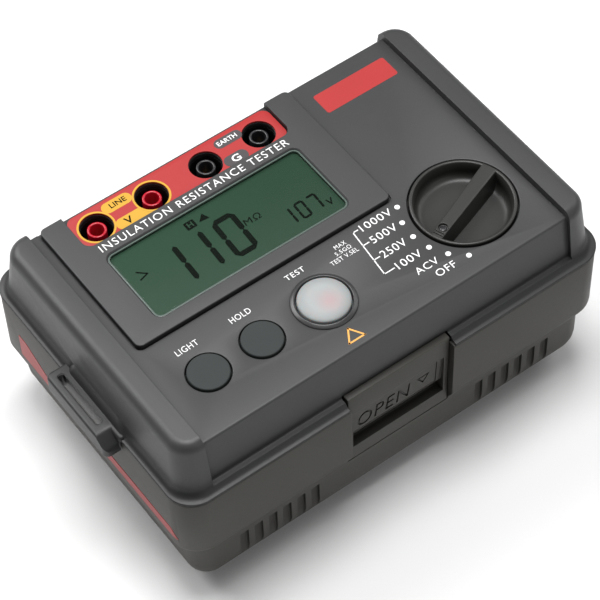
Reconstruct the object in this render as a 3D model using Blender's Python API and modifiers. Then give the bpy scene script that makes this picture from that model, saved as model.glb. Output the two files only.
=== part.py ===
"""Hand-held insulation resistance tester: an instrument that sits in a lead storage tray.

Metres, +Z up. The origin is the middle of the footprint, on the surface the feet stand on.
-Y is the side that faces the user, +X is the user's right.
"""

import math

import bmesh
import bpy
from mathutils import Matrix, Vector

MM = 0.001

# ---------------------------------------------------------------- driving dimensions
LENGTH = 150.0 * MM             # outline of the flange, along X
WIDTH = 100.0 * MM              # outline of the flange, along Y
FLANGE_CORNER = 8.7 * MM

FOOT_HEIGHT = 1.5 * MM
FOOT_RADIUS = 5.0 * MM
FOOT_SINK = 0.7 * MM            # how far a foot is let into the tray
FOOT_INSET = 24.0 * MM          # foot centre from the outline

TRAY_HEIGHT = 49.3 * MM         # tray alone, without its feet
TRAY_WALL = 2.4 * MM
TRAY_FLOOR = 2.4 * MM
TRAY_INSET = 0.2 * MM           # tray rim inside the flange outline
TRAY_CORNER = 8.5 * MM
TRAY_LOW_CORNER = 6.5 * MM       # below the waist
TRAY_WAIST_TOP = 23.0 * MM      # below the rim, where the side starts to step in
TRAY_WAIST_DROP = 5.5 * MM      # height of that step
TRAY_STEP_X = 3.9 * MM
TRAY_STEP_Y = 2.1 * MM
TRAY_BASE_ROUND = 11.3 * MM
RIM_CHAMFER = 0.5 * MM

SEAM = 0.3 * MM                 # gap between two pieces that touch
FRONT_HEIGHT = 17.2 * MM        # flange underside to panel
CHEEK_HEIGHT = 2.7 * MM         # cheeks above the panel
FLANGE_EDGE = 0.5 * MM
FLARE_LOW = 1.9 * MM            # lower, flatter part of the flare
FLARE_HIGH = 1.8 * MM           # upper, steeper part
FLARE_IN_X = 2.1 * MM
FLARE_IN_Y = 2.8 * MM
FLARE_TIP = 0.5 * MM
WALL_DRAFT_X = 0.9 * MM
WALL_DRAFT_Y = 1.8 * MM
WALL_CORNER = 7.0 * MM
CHEEK_ROUND = 3.4 * MM
CHEEK_WIDTH = 8.2 * MM          # from the side wall's top to the panel
FRONT_WALL_SET_BACK = 1.1 * MM  # wall between the cheeks, behind the cheeks
LIP_HEIGHT = 1.9 * MM           # lip at the foot of that wall, above the flange underside
PANEL_THICKNESS = 2.2 * MM
CREASE_ROUND = 1.0 * MM

CASE_WALL = 2.2 * MM
REAR_DEPTH = 26.8 * MM          # rear housing below the tray rim
REAR_CORNER = 8.0 * MM
REAR_CLEAR_X = 1.0 * MM         # rear housing inside the tray wall
REAR_CLEAR_Y = 4.2 * MM         # more at front and back, where the latch stands
REAR_CHAMFER = 3.4 * MM

LATCH_NOTCH = 36.4 * MM         # width of the tray's notch
LATCH_GAP = 1.0 * MM            # beside the tongue
LATCH_THICKNESS = 2.4 * MM
LATCH_RISE = 2.6 * MM           # tongue above the tray rim
LATCH_FOOT = 5.5 * MM           # tongue foot below the waist's start
LATCH_HINGE = 3.0 * MM          # hinge line above the tongue's foot
LATCH_ROUND = 0.8 * MM
PULL_WIDTH = 32.6 * MM
PULL_LOW = 5.9 * MM             # finger pull, above the tongue's foot
PULL_HEIGHT = 16.6 * MM
PULL_SHALLOW = 0.7 * MM
PULL_DEEP = 2.9 * MM
PULL_SKIN = 0.8 * MM

GRIP_COUNT = 6
GRIP_PITCH = 5.0 * MM
GRIP_WIDTH = 3.0 * MM
GRIP_DEPTH = 1.2 * MM
GRIP_FIRST = 30.0 * MM
GRIP_TOP = 7.7 * MM             # above the start of the base rounding

STRIPE_HEIGHT = 3.8 * MM
STRIPE_BLADE = 9.5 * MM         # height at its broad end
STRIPE_TOP = 16.3 * MM          # below the rim
STRIPE_FRONT = 44.0 * MM        # pointed end, from the middle
STRIPE_BACK = 36.0 * MM
STRIPE_NECK = 20.0 * MM         # where the blade starts
STRIPE_DEPTH = 0.9 * MM

LUG_REACH = 5.1 * MM            # strap lug beyond the outline
LUG_FRONT = 19.0 * MM
LUG_BACK = 11.5 * MM
LUG_HEIGHT = 5.8 * MM
LUG_TOP = 1.5 * MM              # above the flange underside
LUG_NOSE = 4.2 * MM
SLOT_WIDTH = 2.1 * MM
SLOT_FROM_EDGE = 0.4 * MM       # slot outside the outline
SLOT_FRONT = 11.5 * MM
SLOT_BACK = 8.8 * MM
PAD_TOP = 2.2 * MM              # lug's pad on the side wall, below the panel
PAD_FRONT = 18.5 * MM
PAD_BACK = 1.5 * MM

PLATE_LEFT = -59.6 * MM         # display plate
PLATE_RIGHT = 28.0 * MM
PLATE_FRONT = -7.7 * MM
PLATE_CORNER = 2.0 * MM
PLATE_SINK = 0.8 * MM
PLATE_RAISE = 1.4 * MM
PLATE_GROOVE = 0.5 * MM
PLATE_BACK_MARGIN = 0.5 * MM

WINDOW_LEFT = -49.6 * MM        # display window in the plate
WINDOW_RIGHT = 17.2 * MM
WINDOW_FRONT = -2.8 * MM
WINDOW_BACK = 24.2 * MM
WINDOW_CORNER = 2.5 * MM
WINDOW_THICKNESS = 0.7 * MM
WINDOW_SINK = 0.4 * MM
LCD_MARGIN = 0.6 * MM
LCD_THICKNESS = 2.6 * MM
LIGHT_THICKNESS = 2.4 * MM
FRAME_WALL = 2.0 * MM

JACK_PITCH = 19.0 * MM
JACK_COUNT = 4
JACK_FIRST = -45.0 * MM
JACK_Y = 35.3 * MM
JACK_WELL = 5.0 * MM
JACK_DEPTH = 20.0 * MM
JACK_TUBE = 2.9 * MM
JACK_BORE = 2.35 * MM
JACK_PIN = 2.05 * MM            # inside of the sprung socket
JACK_SINK = 1.0 * MM            # tube top below the label
LABEL_MARGIN = 6.6 * MM         # label beyond the first and last jack's centre
LABEL_RIGHT = 7.4 * MM
LABEL_FRONT = 29.6 * MM
LABEL_THICKNESS = 0.5 * MM
LABEL_CORNER = 3.0 * MM
BLOCK_WALL = 0.7 * MM

KNOB_X = 43.5 * MM
KNOB_Y = -21.1 * MM
KNOB_RADIUS = 15.6 * MM
KNOB_GAP = 0.5 * MM
KNOB_RAISE = 0.6 * MM
KNOB_DEPTH = 7.4 * MM           # knob below the panel
KNOB_RIM = 0.7 * MM
KNOB_DISH = 5.6 * MM
KNOB_DISH_FLOOR = 11.8 * MM
KNOB_BAR = 4.7 * MM
KNOB_BAR_FOOT = 7.6 * MM
KNOB_SKIRT = 0.9 * MM
POINTER_ANGLE = math.radians(200.8)
POINTER_PLACE = 11.1 * MM
POINTER_RADIUS = 1.3 * MM
POINTER_DEPTH = 0.9 * MM
SHAFT_RADIUS = 2.6 * MM

KEY_Y = -25.1 * MM
LIGHT_X = -48.4 * MM
HOLD_X = -30.3 * MM
TEST_X = -9.1 * MM
KEY_RADIUS = 6.1 * MM
KEY_GAP = 0.45 * MM
KEY_RAISE = 0.5 * MM
KEY_ROUND = 0.5 * MM
KEY_TRAVEL = 1.5 * MM
KEY_FLANGE = 1.1 * MM
KEY_FLANGE_THICKNESS = 1.5 * MM
STEM_RADIUS = 2.2 * MM
TEST_HOLE = 9.2 * MM
BEZEL_RADIUS = 9.7 * MM
BEZEL_RAISE = 0.9 * MM
BEZEL_LAND = 0.5 * MM
TEST_RADIUS = 7.7 * MM
TEST_GAP = 0.45 * MM
TEST_RAISE = 1.9 * MM
TEST_DOME = 1.1 * MM
TEST_FLANGE = 1.0 * MM
TEST_SKIN = 1.6 * MM

BOARD_LEFT = -58.5 * MM
BOARD_RIGHT = 58.5 * MM
BOARD_FRONT = -39.5 * MM
BOARD_BACK = 26.0 * MM
BOARD_THICKNESS = 1.6 * MM
BOARD_DROP = 16.1 * MM          # panel to the board's top
SWITCH_SIDE = 6.0 * MM
SWITCH_HEIGHT = 3.6 * MM
SPRING_WIRE = 0.35 * MM
SPRING_TURNS = 3.5
LAMP_RADIUS = 2.5 * MM
LAMP_HEIGHT = 6.0 * MM

ROTARY_RADIUS = 14.0 * MM
ROTARY_WALL = 1.6 * MM
ROTARY_HEIGHT = 6.6 * MM
ROTOR_HUB = 4.4 * MM
ROTOR_THICKNESS = 2.6 * MM
BUZZER_RADIUS = 6.5 * MM
BUZZER_HEIGHT = 5.5 * MM
TRANSFORMER_SIZE = (22.0 * MM, 18.0 * MM, 7.0 * MM)

CELL_RADIUS = 7.1 * MM
CELL_LENGTH = 50.2 * MM
CELL_NUB = 1.2 * MM
CELL_NUB_RADIUS = 2.7 * MM
CELL_PITCH = 15.1 * MM
CELL_ROWS = 3
BAY_LENGTH = 115.0 * MM
BAY_WIDTH = 46.4 * MM
BAY_WALL = 5.2 * MM
BAY_CEILING = 1.6 * MM
CONTACT_THICKNESS = 0.8 * MM
DOOR_THICKNESS = 1.6 * MM
DOOR_LEDGE = 3.0 * MM
DOOR_TAB = 7.0 * MM

SCREW_X = 63.5 * MM
SCREW_Y = 35.5 * MM
SCREW_RADIUS = 1.4 * MM
SCREW_HEAD = 2.7 * MM
SCREW_HEAD_HEIGHT = 2.0 * MM
SCREW_GAP = 0.3 * MM
BOSS_RADIUS = 3.7 * MM
POST_RADIUS = 2.6 * MM
POST_PLACES = (
    (-56.0 * MM, -36.0 * MM),
    (26.0 * MM, -36.0 * MM),
    (-56.0 * MM, 22.5 * MM),
    (56.0 * MM, 20.0 * MM),
)

CORNER_STEPS = 5
ROUND_STEPS = 32
SMALL_STEPS = 16
SMOOTH_BELOW = 3.0 * MM         # faces narrower than this are part of a curve

# ---------------------------------------------------------------- levels
TRAY_BASE_Z = FOOT_HEIGHT
TRAY_RIM_Z = TRAY_BASE_Z + TRAY_HEIGHT
FLANGE_Z = TRAY_RIM_Z + SEAM
PANEL_Z = FLANGE_Z + FRONT_HEIGHT
CHEEK_Z = PANEL_Z + CHEEK_HEIGHT
PANEL_UNDER_Z = PANEL_Z - PANEL_THICKNESS
PLATE_BOTTOM_Z = PANEL_Z - PLATE_SINK + SEAM
PLATE_TOP_Z = PANEL_Z + PLATE_RAISE
WAIST_TOP_Z = TRAY_RIM_Z - TRAY_WAIST_TOP
WAIST_LOW_Z = WAIST_TOP_Z - TRAY_WAIST_DROP
REAR_Z = TRAY_RIM_Z - REAR_DEPTH
BOARD_TOP_Z = PANEL_Z - BOARD_DROP
BOARD_Z = BOARD_TOP_Z - BOARD_THICKNESS
ON_BOARD_Z = BOARD_TOP_Z + SEAM

# ---------------------------------------------------------------- half sizes
HALF_X = LENGTH / 2
HALF_Y = WIDTH / 2
TRAY_X = HALF_X - TRAY_INSET
TRAY_Y = HALF_Y - TRAY_INSET
TRAY_LOW_X = TRAY_X - TRAY_STEP_X
TRAY_LOW_Y = TRAY_Y - TRAY_STEP_Y
WALL_FOOT_X = HALF_X - FLARE_IN_X - FLARE_TIP
WALL_FOOT_Y = HALF_Y - FLARE_IN_Y - FLARE_TIP
WALL_TOP_X = WALL_FOOT_X - WALL_DRAFT_X
WALL_TOP_Y = WALL_FOOT_Y - WALL_DRAFT_Y
PANEL_X = WALL_TOP_X - CHEEK_WIDTH
REAR_X = TRAY_X - TRAY_WALL - REAR_CLEAR_X
REAR_Y = TRAY_Y - TRAY_WALL - REAR_CLEAR_Y
CAVITY_X = REAR_X - CASE_WALL
CAVITY_Y = REAR_Y - CASE_WALL


# ---------------------------------------------------------------- helpers
def clear_scene():
    """Remove every object the file starts with."""
    for obj in list(bpy.data.objects):
        bpy.data.objects.remove(obj, do_unlink=True)


def make_collection(name):
    """Return a new collection linked to the scene."""
    group = bpy.data.collections.new(name)
    bpy.context.scene.collection.children.link(group)
    return group


def make_material(name, colour, roughness, metallic=0.0, alpha=1.0):
    """Return a Principled material."""
    material = bpy.data.materials.new(name)
    material.use_nodes = True
    shader = material.node_tree.nodes["Principled BSDF"]
    shader.inputs["Base Color"].default_value = (*colour, 1.0)
    shader.inputs["Roughness"].default_value = roughness
    shader.inputs["Metallic"].default_value = metallic
    shader.inputs["Alpha"].default_value = alpha
    material.diffuse_color = (*colour, alpha)
    return material


class Workshop:
    """Makes objects in the part's collection, and cutters in their own."""

    def __init__(self):
        self.parts = make_collection("insulation_resistance_tester")
        self.cutters = make_collection("cutters")
        self.materials = {}

    def finish(self, name):
        """Return the named finish, made once."""
        if name not in self.materials:
            colour, roughness, metallic, alpha = FINISHES[name]
            self.materials[name] = make_material(name, colour, roughness, metallic, alpha)
        return self.materials[name]

    def add(self, name, mesh, finish=None):
        """Add a mesh as a part when it has a finish, or else as a hidden cutter."""
        obj = bpy.data.objects.new(name, mesh)
        if finish:
            self.parts.objects.link(obj)
            mesh.materials.append(self.finish(finish))
        else:
            self.cutters.objects.link(obj)
            obj.display_type = "WIRE"
            obj.hide_render = True
            obj.hide_viewport = False
        return obj


def to_mesh(bm, name):
    """Write a bmesh to a new mesh: narrow faces smooth, so curves look round, and broad ones flat."""
    bmesh.ops.recalc_face_normals(bm, faces=bm.faces[:])
    for face in bm.faces:
        narrow = sorted(edge.calc_length() for edge in face.edges)[0]
        face.smooth = len(face.verts) == 4 and narrow < SMOOTH_BELOW
    mesh = bpy.data.meshes.new(name)
    bm.to_mesh(mesh)
    bm.free()
    mesh.set_sharp_from_angle(angle=math.radians(32))
    return mesh


def box(shop, name, low, high, finish=None):
    """A box between two corners."""
    bm = bmesh.new()
    bmesh.ops.create_cube(bm, size=1.0)
    size = [high[i] - low[i] for i in range(3)]
    middle = [(high[i] + low[i]) / 2 for i in range(3)]
    bmesh.ops.scale(bm, vec=size, verts=bm.verts)
    bmesh.ops.translate(bm, vec=middle, verts=bm.verts)
    return shop.add(name, to_mesh(bm, name), finish)


def disc(shop, name, x, y, radius, low, high, finish=None, steps=SMALL_STEPS, top=None):
    """An upright cylinder, or a cone when a top radius is given."""
    bm = bmesh.new()
    bmesh.ops.create_cone(
        bm, cap_ends=True, segments=steps, radius1=radius,
        radius2=radius if top is None else top, depth=high - low)
    bmesh.ops.translate(bm, vec=(x, y, (low + high) / 2), verts=bm.verts)
    return shop.add(name, to_mesh(bm, name), finish)


def turned(shop, name, place, profile, finish=None, steps=ROUND_STEPS):
    """Turn a profile of (radius, height) about an upright axis at place.

    The profile runs from the top down its outer side and closes on itself or on the axis.
    """
    mesh = bpy.data.meshes.new(name)
    points = [(radius, 0.0, height) for radius, height in profile]
    edges = [(i, i + 1) for i in range(len(points) - 1)]
    if profile[0][0] > 0.0 and profile[-1][0] > 0.0:
        edges.append((len(points) - 1, 0))
    mesh.from_pydata(points, edges, [])
    obj = shop.add(name, mesh, finish)
    obj.location = place
    screw = obj.modifiers.new("turn", "SCREW")
    screw.steps = steps
    screw.render_steps = steps
    screw.use_merge_vertices = True
    screw.merge_threshold = 0.00001
    screw.use_smooth_shade = True
    screw.use_normal_calculate = False
    return obj


def corner_loop(half_x, half_y, corner, height, centre=(0.0, 0.0), steps=CORNER_STEPS):
    """Points round a rectangle with round corners, anticlockwise from above."""
    points = []
    for quarter, (sx, sy) in enumerate(((1, 1), (-1, 1), (-1, -1), (1, -1))):
        for i in range(steps + 1):
            angle = math.pi / 2 * (quarter + i / steps)
            x = centre[0] + sx * (half_x - corner) + corner * math.cos(angle)
            y = centre[1] + sy * (half_y - corner) + corner * math.sin(angle)
            points.append((x, y, height))
    return points


def loft(shop, name, loops, finish=None):
    """A closed solid through a stack of loops with equal point counts."""
    bm = bmesh.new()
    rings = [[bm.verts.new(p) for p in loop] for loop in loops]
    count = len(rings[0])
    for low, high in zip(rings, rings[1:]):
        for i in range(count):
            j = (i + 1) % count
            bm.faces.new((low[i], low[j], high[j], high[i]))
    bm.faces.new(list(reversed(rings[0])))
    bm.faces.new(rings[-1])
    return shop.add(name, to_mesh(bm, name), finish)


def slab(shop, name, left, right, front, back, low, high, corner, finish=None):
    """A plate with round corners."""
    centre = ((left + right) / 2, (front + back) / 2)
    half = ((right - left) / 2, (back - front) / 2)
    loops = [corner_loop(*half, corner, z, centre) for z in (low, high)]
    return loft(shop, name, loops, finish)


def prism(shop, name, outline, axis, start, end, finish=None):
    """Extrude a closed outline of two coordinates along X or Y."""
    bm = bmesh.new()
    if axis == "X":
        verts = [bm.verts.new((start, a, b)) for a, b in outline]
        step = Vector((end - start, 0.0, 0.0))
    else:
        verts = [bm.verts.new((a, start, b)) for a, b in outline]
        step = Vector((0.0, end - start, 0.0))
    face = bm.faces.new(verts)
    grown = bmesh.ops.extrude_face_region(bm, geom=[face])
    moved = [v for v in grown["geom"] if isinstance(v, bmesh.types.BMVert)]
    bmesh.ops.translate(bm, vec=step, verts=moved)
    return shop.add(name, to_mesh(bm, name), finish)


def boolean(target, tool, operation):
    """Cut or join one object with another."""
    modifier = target.modifiers.new(tool.name, "BOOLEAN")
    modifier.operation = operation
    modifier.solver = "EXACT"
    modifier.object = tool


def cut(target, *tools):
    for tool in tools:
        boolean(target, tool, "DIFFERENCE")


def join(target, *tools):
    for tool in tools:
        boolean(target, tool, "UNION")


def bevel(obj, width, segments=2, angle=math.radians(40)):
    """Round the edges that are sharper than an angle."""
    modifier = obj.modifiers.new("edges", "BEVEL")
    modifier.width = width
    modifier.segments = segments
    modifier.limit_method = "ANGLE"
    modifier.angle_limit = angle
    modifier.use_clamp_overlap = True


def fraction(a, b, share):
    """A value part of the way from a to b."""
    return a + (b - a) * share


# ---------------------------------------------------------------- storage tray
def tray_outside():
    """Half sizes and corner of the tray's outside, from the base up."""
    rows = []
    steps = 4
    for i in range(steps + 1):
        angle = math.pi / 2 * i / steps
        inset = TRAY_BASE_ROUND * (1 - math.sin(angle))
        height = TRAY_BASE_Z + TRAY_BASE_ROUND * (1 - math.cos(angle))
        corner = fraction(TRAY_LOW_CORNER, TRAY_LOW_CORNER / 2, inset / TRAY_BASE_ROUND)
        rows.append((TRAY_LOW_X - inset, TRAY_LOW_Y - inset, corner, height))
    rim = TRAY_RIM_Z - RIM_CHAMFER
    rows.append((TRAY_LOW_X, TRAY_LOW_Y, TRAY_LOW_CORNER, WAIST_LOW_Z))
    rows.append((TRAY_X, TRAY_Y, TRAY_CORNER, WAIST_TOP_Z))
    rows.append((TRAY_X, TRAY_Y, TRAY_CORNER, rim))
    rows.append((TRAY_X - RIM_CHAMFER, TRAY_Y - RIM_CHAMFER, TRAY_CORNER, TRAY_RIM_Z))
    return [corner_loop(*row) for row in rows]


def tray_inside():
    """Loops of the hollow for the leads and the rear housing."""
    floor = TRAY_BASE_Z + TRAY_FLOOR
    corner = TRAY_CORNER - TRAY_WALL
    low_corner = TRAY_LOW_CORNER - TRAY_WALL / 2
    low = (TRAY_LOW_X - TRAY_WALL, TRAY_LOW_Y - TRAY_WALL)
    high = (TRAY_X - TRAY_WALL, TRAY_Y - TRAY_WALL)
    deep = TRAY_BASE_ROUND - TRAY_WALL
    rows = [
        (low[0] - deep, low[1] - deep, low_corner / 2, floor),
        (low[0] - deep * 0.3, low[1] - deep * 0.3, low_corner, floor + deep * 0.3),
        (low[0], low[1], low_corner, floor + deep),
        (low[0], low[1], low_corner, WAIST_LOW_Z),
        (high[0], high[1], corner, WAIST_TOP_Z + TRAY_WALL / 2),
        (high[0], high[1], corner, TRAY_RIM_Z + 5 * MM),
    ]
    return [corner_loop(*row) for row in rows]


def tray_band(shop, name, grow):
    """The tray's upper outline grown by a margin, as a tool to shape the stripes with."""
    loops = [corner_loop(TRAY_X + grow, TRAY_Y + grow, TRAY_CORNER + grow, z)
             for z in (WAIST_TOP_Z - MM, TRAY_RIM_Z + MM)]
    return loft(shop, name, loops)


def stripe_outline(grow):
    """Side view of a stripe, as (y, z), grown by a margin: pointed in front, a blade behind."""
    top = TRAY_RIM_Z - STRIPE_TOP + grow
    low = top - STRIPE_HEIGHT - 2 * grow
    blade = top + (STRIPE_BLADE - STRIPE_HEIGHT)
    return [
        (-STRIPE_FRONT - grow, low + grow),
        (-STRIPE_FRONT + STRIPE_HEIGHT, low),
        (STRIPE_NECK, low),
        (STRIPE_BACK + grow, low),
        (STRIPE_BACK + grow, blade),
        (STRIPE_BACK - STRIPE_HEIGHT, blade),
        (STRIPE_NECK, top),
        (-STRIPE_FRONT + STRIPE_HEIGHT * 0.6, top),
        (-STRIPE_FRONT - grow, low + 2 * grow + STRIPE_HEIGHT * 0.12),
    ]


def build_tray(shop):
    """The lead storage tray, its stripes and its feet."""
    tray = loft(shop, "storage_tray", tray_outside(), "tray_plastic")
    cut(tray, loft(shop, "cut_tray_inside", tray_inside()))
    notch = LATCH_NOTCH / 2
    cut(tray, box(shop, "cut_latch_notch", (-notch, -HALF_Y - MM, WAIST_TOP_Z - LATCH_FOOT),
                  (notch, -HALF_Y + 8 * MM, TRAY_RIM_Z + MM)))
    grip_top = TRAY_BASE_Z + TRAY_BASE_ROUND + GRIP_TOP
    for side in (-1, 1):
        for face in (-1, 1):
            for i in range(GRIP_COUNT):
                x = side * (GRIP_FIRST + i * GRIP_PITCH)
                ys = sorted((face * (TRAY_LOW_Y - GRIP_DEPTH), face * (HALF_Y + MM)))
                cut(tray, box(shop, f"cut_grip_{side}_{face}_{i}",
                              (x - GRIP_WIDTH / 2, ys[0], -MM),
                              (x + GRIP_WIDTH / 2, ys[1], grip_top)))
    for side, name in ((-1, "left"), (1, "right")):
        outer = side * (TRAY_X + MM)
        inner = side * (TRAY_X - TRAY_CORNER)
        pocket = prism(shop, f"cut_stripe_{name}", stripe_outline(SEAM), "X", inner, outer)
        cut(pocket, tray_band(shop, f"core_pocket_{name}", -STRIPE_DEPTH))
        cut(tray, pocket)
        stripe = prism(shop, f"stripe_{name}", stripe_outline(0.0), "X", inner, outer, "stripe_red")
        boolean(stripe, tray_band(shop, f"skin_stripe_{name}", 0.1 * MM), "INTERSECT")
        cut(stripe, tray_band(shop, f"core_stripe_{name}", SEAM - STRIPE_DEPTH))
    foot_x = HALF_X - FOOT_INSET
    foot_y = HALF_Y - FOOT_INSET
    for i, (sx, sy) in enumerate(((-1, -1), (1, -1), (1, 1), (-1, 1)), start=1):
        sink = TRAY_BASE_Z + FOOT_SINK
        cut(tray, disc(shop, f"cut_foot_{i}", sx * foot_x, sy * foot_y, FOOT_RADIUS + SEAM,
                       0.0, sink, steps=ROUND_STEPS))
        disc(shop, f"foot_{i}", sx * foot_x, sy * foot_y, FOOT_RADIUS, 0.0, sink - SEAM,
             "rubber_black", steps=24)
    return tray


def build_latch(shop):
    """The tongue that holds the instrument down; it turns about its lower edge."""
    foot = WAIST_TOP_Z - LATCH_FOOT + SEAM
    top = TRAY_RIM_Z + LATCH_RISE
    front = -TRAY_LOW_Y
    half = LATCH_NOTCH / 2 - LATCH_GAP
    hinge = Vector((0.0, front + LATCH_THICKNESS / 2, foot + LATCH_HINGE))
    pull = PULL_WIDTH / 2
    low = foot + PULL_LOW
    high = low + PULL_HEIGHT
    tongue = box(shop, "latch_tongue", (-half, front, foot), (half, front + LATCH_THICKNESS, top),
                 "tray_plastic")
    bevel(tongue, LATCH_ROUND)
    back = front + PULL_DEEP + PULL_SKIN
    join(tongue, prism(shop, "add_pull_back", [
        (front + LATCH_THICKNESS - 0.4 * MM, low - PULL_SKIN),
        (back, low - PULL_SKIN),
        (back, low + PULL_HEIGHT / 3),
        (front + LATCH_THICKNESS - 0.4 * MM, high),
    ], "X", -pull - PULL_SKIN / 2, pull + PULL_SKIN / 2))
    cut(tongue, prism(shop, "cut_pull", [
        (front - MM, low),
        (front + PULL_DEEP, low),
        (front + PULL_SHALLOW, high),
        (front - MM, high),
    ], "X", -pull, pull))
    join(tongue, box(shop, "add_catch", (-6 * MM, front + LATCH_THICKNESS - 0.4 * MM, top - 1.6 * MM),
                     (6 * MM, front + LATCH_THICKNESS + 0.4 * MM, top - 0.9 * MM)))
    tongue.data.transform(Matrix.Translation(-hinge))
    tongue.location = hinge
    return tongue


# ---------------------------------------------------------------- front housing
def front_outside():
    """Loops of the housing's outside, from the flange up over the cheeks."""
    flare_1 = FLANGE_Z + FLANGE_EDGE
    flare_2 = flare_1 + FLARE_LOW
    rows = [
        (HALF_X - FLANGE_EDGE / 2, HALF_Y - FLANGE_EDGE / 2, FLANGE_CORNER, FLANGE_Z),
        (HALF_X, HALF_Y, FLANGE_CORNER, FLANGE_Z + FLANGE_EDGE / 2),
        (HALF_X, HALF_Y, FLANGE_CORNER, flare_1),
        (WALL_FOOT_X + FLARE_TIP, WALL_FOOT_Y + FLARE_TIP, FLANGE_CORNER - MM, flare_2),
        (WALL_FOOT_X, WALL_FOOT_Y, WALL_CORNER, flare_2 + FLARE_HIGH),
    ]
    steps = 4
    for i in range(steps + 1):
        angle = math.pi / 2 * i / steps
        inset = CHEEK_ROUND * (1 - math.cos(angle))
        height = CHEEK_Z - CHEEK_ROUND * (1 - math.sin(angle))
        rows.append((WALL_TOP_X - inset, WALL_TOP_Y - inset, WALL_CORNER - inset, height))
    return [corner_loop(x, y, corner, z) for x, y, corner, z in rows]


def channel_outline():
    """Side view of the space taken out between the cheeks, as (y, z)."""
    lip = FLANGE_Z + LIP_HEIGHT
    foot = WALL_FOOT_Y - FRONT_WALL_SET_BACK
    crease = WALL_TOP_Y - FRONT_WALL_SET_BACK - CREASE_ROUND / 2
    far = HALF_Y + 5 * MM
    roof = CHEEK_Z + 5 * MM
    half = [(far, roof), (far, lip), (foot, lip)]
    for i in range(4):
        angle = math.pi / 2 * i / 3
        half.append((crease - CREASE_ROUND * (1 - math.cos(angle)),
                     PANEL_Z - CREASE_ROUND * (1 - math.sin(angle))))
    return half + [(-y, z) for y, z in reversed(half)]


def lug_outline():
    """Side view of a strap lug, as (y, z), with a round nose in front."""
    top = FLANGE_Z + LUG_TOP
    low = top - LUG_HEIGHT
    points = [(LUG_BACK, low), (LUG_BACK, top)]
    for i in range(5):
        angle = math.pi / 2 * (1 + i / 4)
        points.append((-LUG_FRONT + LUG_NOSE + LUG_NOSE * math.cos(angle),
                       top - LUG_NOSE + LUG_NOSE * math.sin(angle)))
    points.append((-LUG_FRONT, low + MM))
    points.append((-LUG_FRONT + MM, low))
    return points


def add_lug(shop, housing, side, name):
    """A strap lug with its slot, and the pad that carries it on the side wall."""
    top = FLANGE_Z + LUG_TOP
    outer = HALF_X + LUG_REACH
    tail = 2.4 * MM
    lug = prism(shop, f"add_lug_{name}", lug_outline(), "X", side * (CAVITY_X + MM), side * outer)
    bevel(lug, tail / 3)
    slot = sorted((side * (HALF_X + SLOT_FROM_EDGE), side * (HALF_X + SLOT_FROM_EDGE + SLOT_WIDTH)))
    cut(lug, box(shop, f"cut_slot_{name}", (slot[0], -SLOT_FRONT, top - 10 * MM),
                 (slot[1], SLOT_BACK, top + 5 * MM)))
    hook = sorted((0.0, side * (HALF_X + SLOT_FROM_EDGE / 2)))
    cut(lug, box(shop, f"cut_hook_{name}", (hook[0], -HALF_Y, top - 10 * MM),
                 (hook[1], HALF_Y, FLANGE_Z)))
    pad_low = [(side * (CAVITY_X + MM), -LUG_FRONT + MM, top - 0.4 * MM),
               (side * (HALF_X + SLOT_FROM_EDGE / 2), -LUG_FRONT + MM, top - 0.4 * MM),
               (side * (HALF_X + SLOT_FROM_EDGE / 2), LUG_BACK - MM, top - 0.4 * MM),
               (side * (CAVITY_X + MM), LUG_BACK - MM, top - 0.4 * MM)]
    pad_z = PANEL_Z - PAD_TOP
    wall = WALL_TOP_X + 0.1 * MM
    pad_high = [(side * (CAVITY_X + MM), -PAD_FRONT, pad_z), (side * wall, -PAD_FRONT, pad_z),
                (side * wall, PAD_BACK, pad_z), (side * (CAVITY_X + MM), PAD_BACK, pad_z)]
    pad = loft(shop, f"add_pad_{name}", [pad_low, pad_high])
    join(lug, pad)
    join(housing, lug)


def screw_places():
    return [(sx * SCREW_X, sy * SCREW_Y) for sx, sy in ((-1, -1), (1, -1), (1, 1), (-1, 1))]


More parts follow.
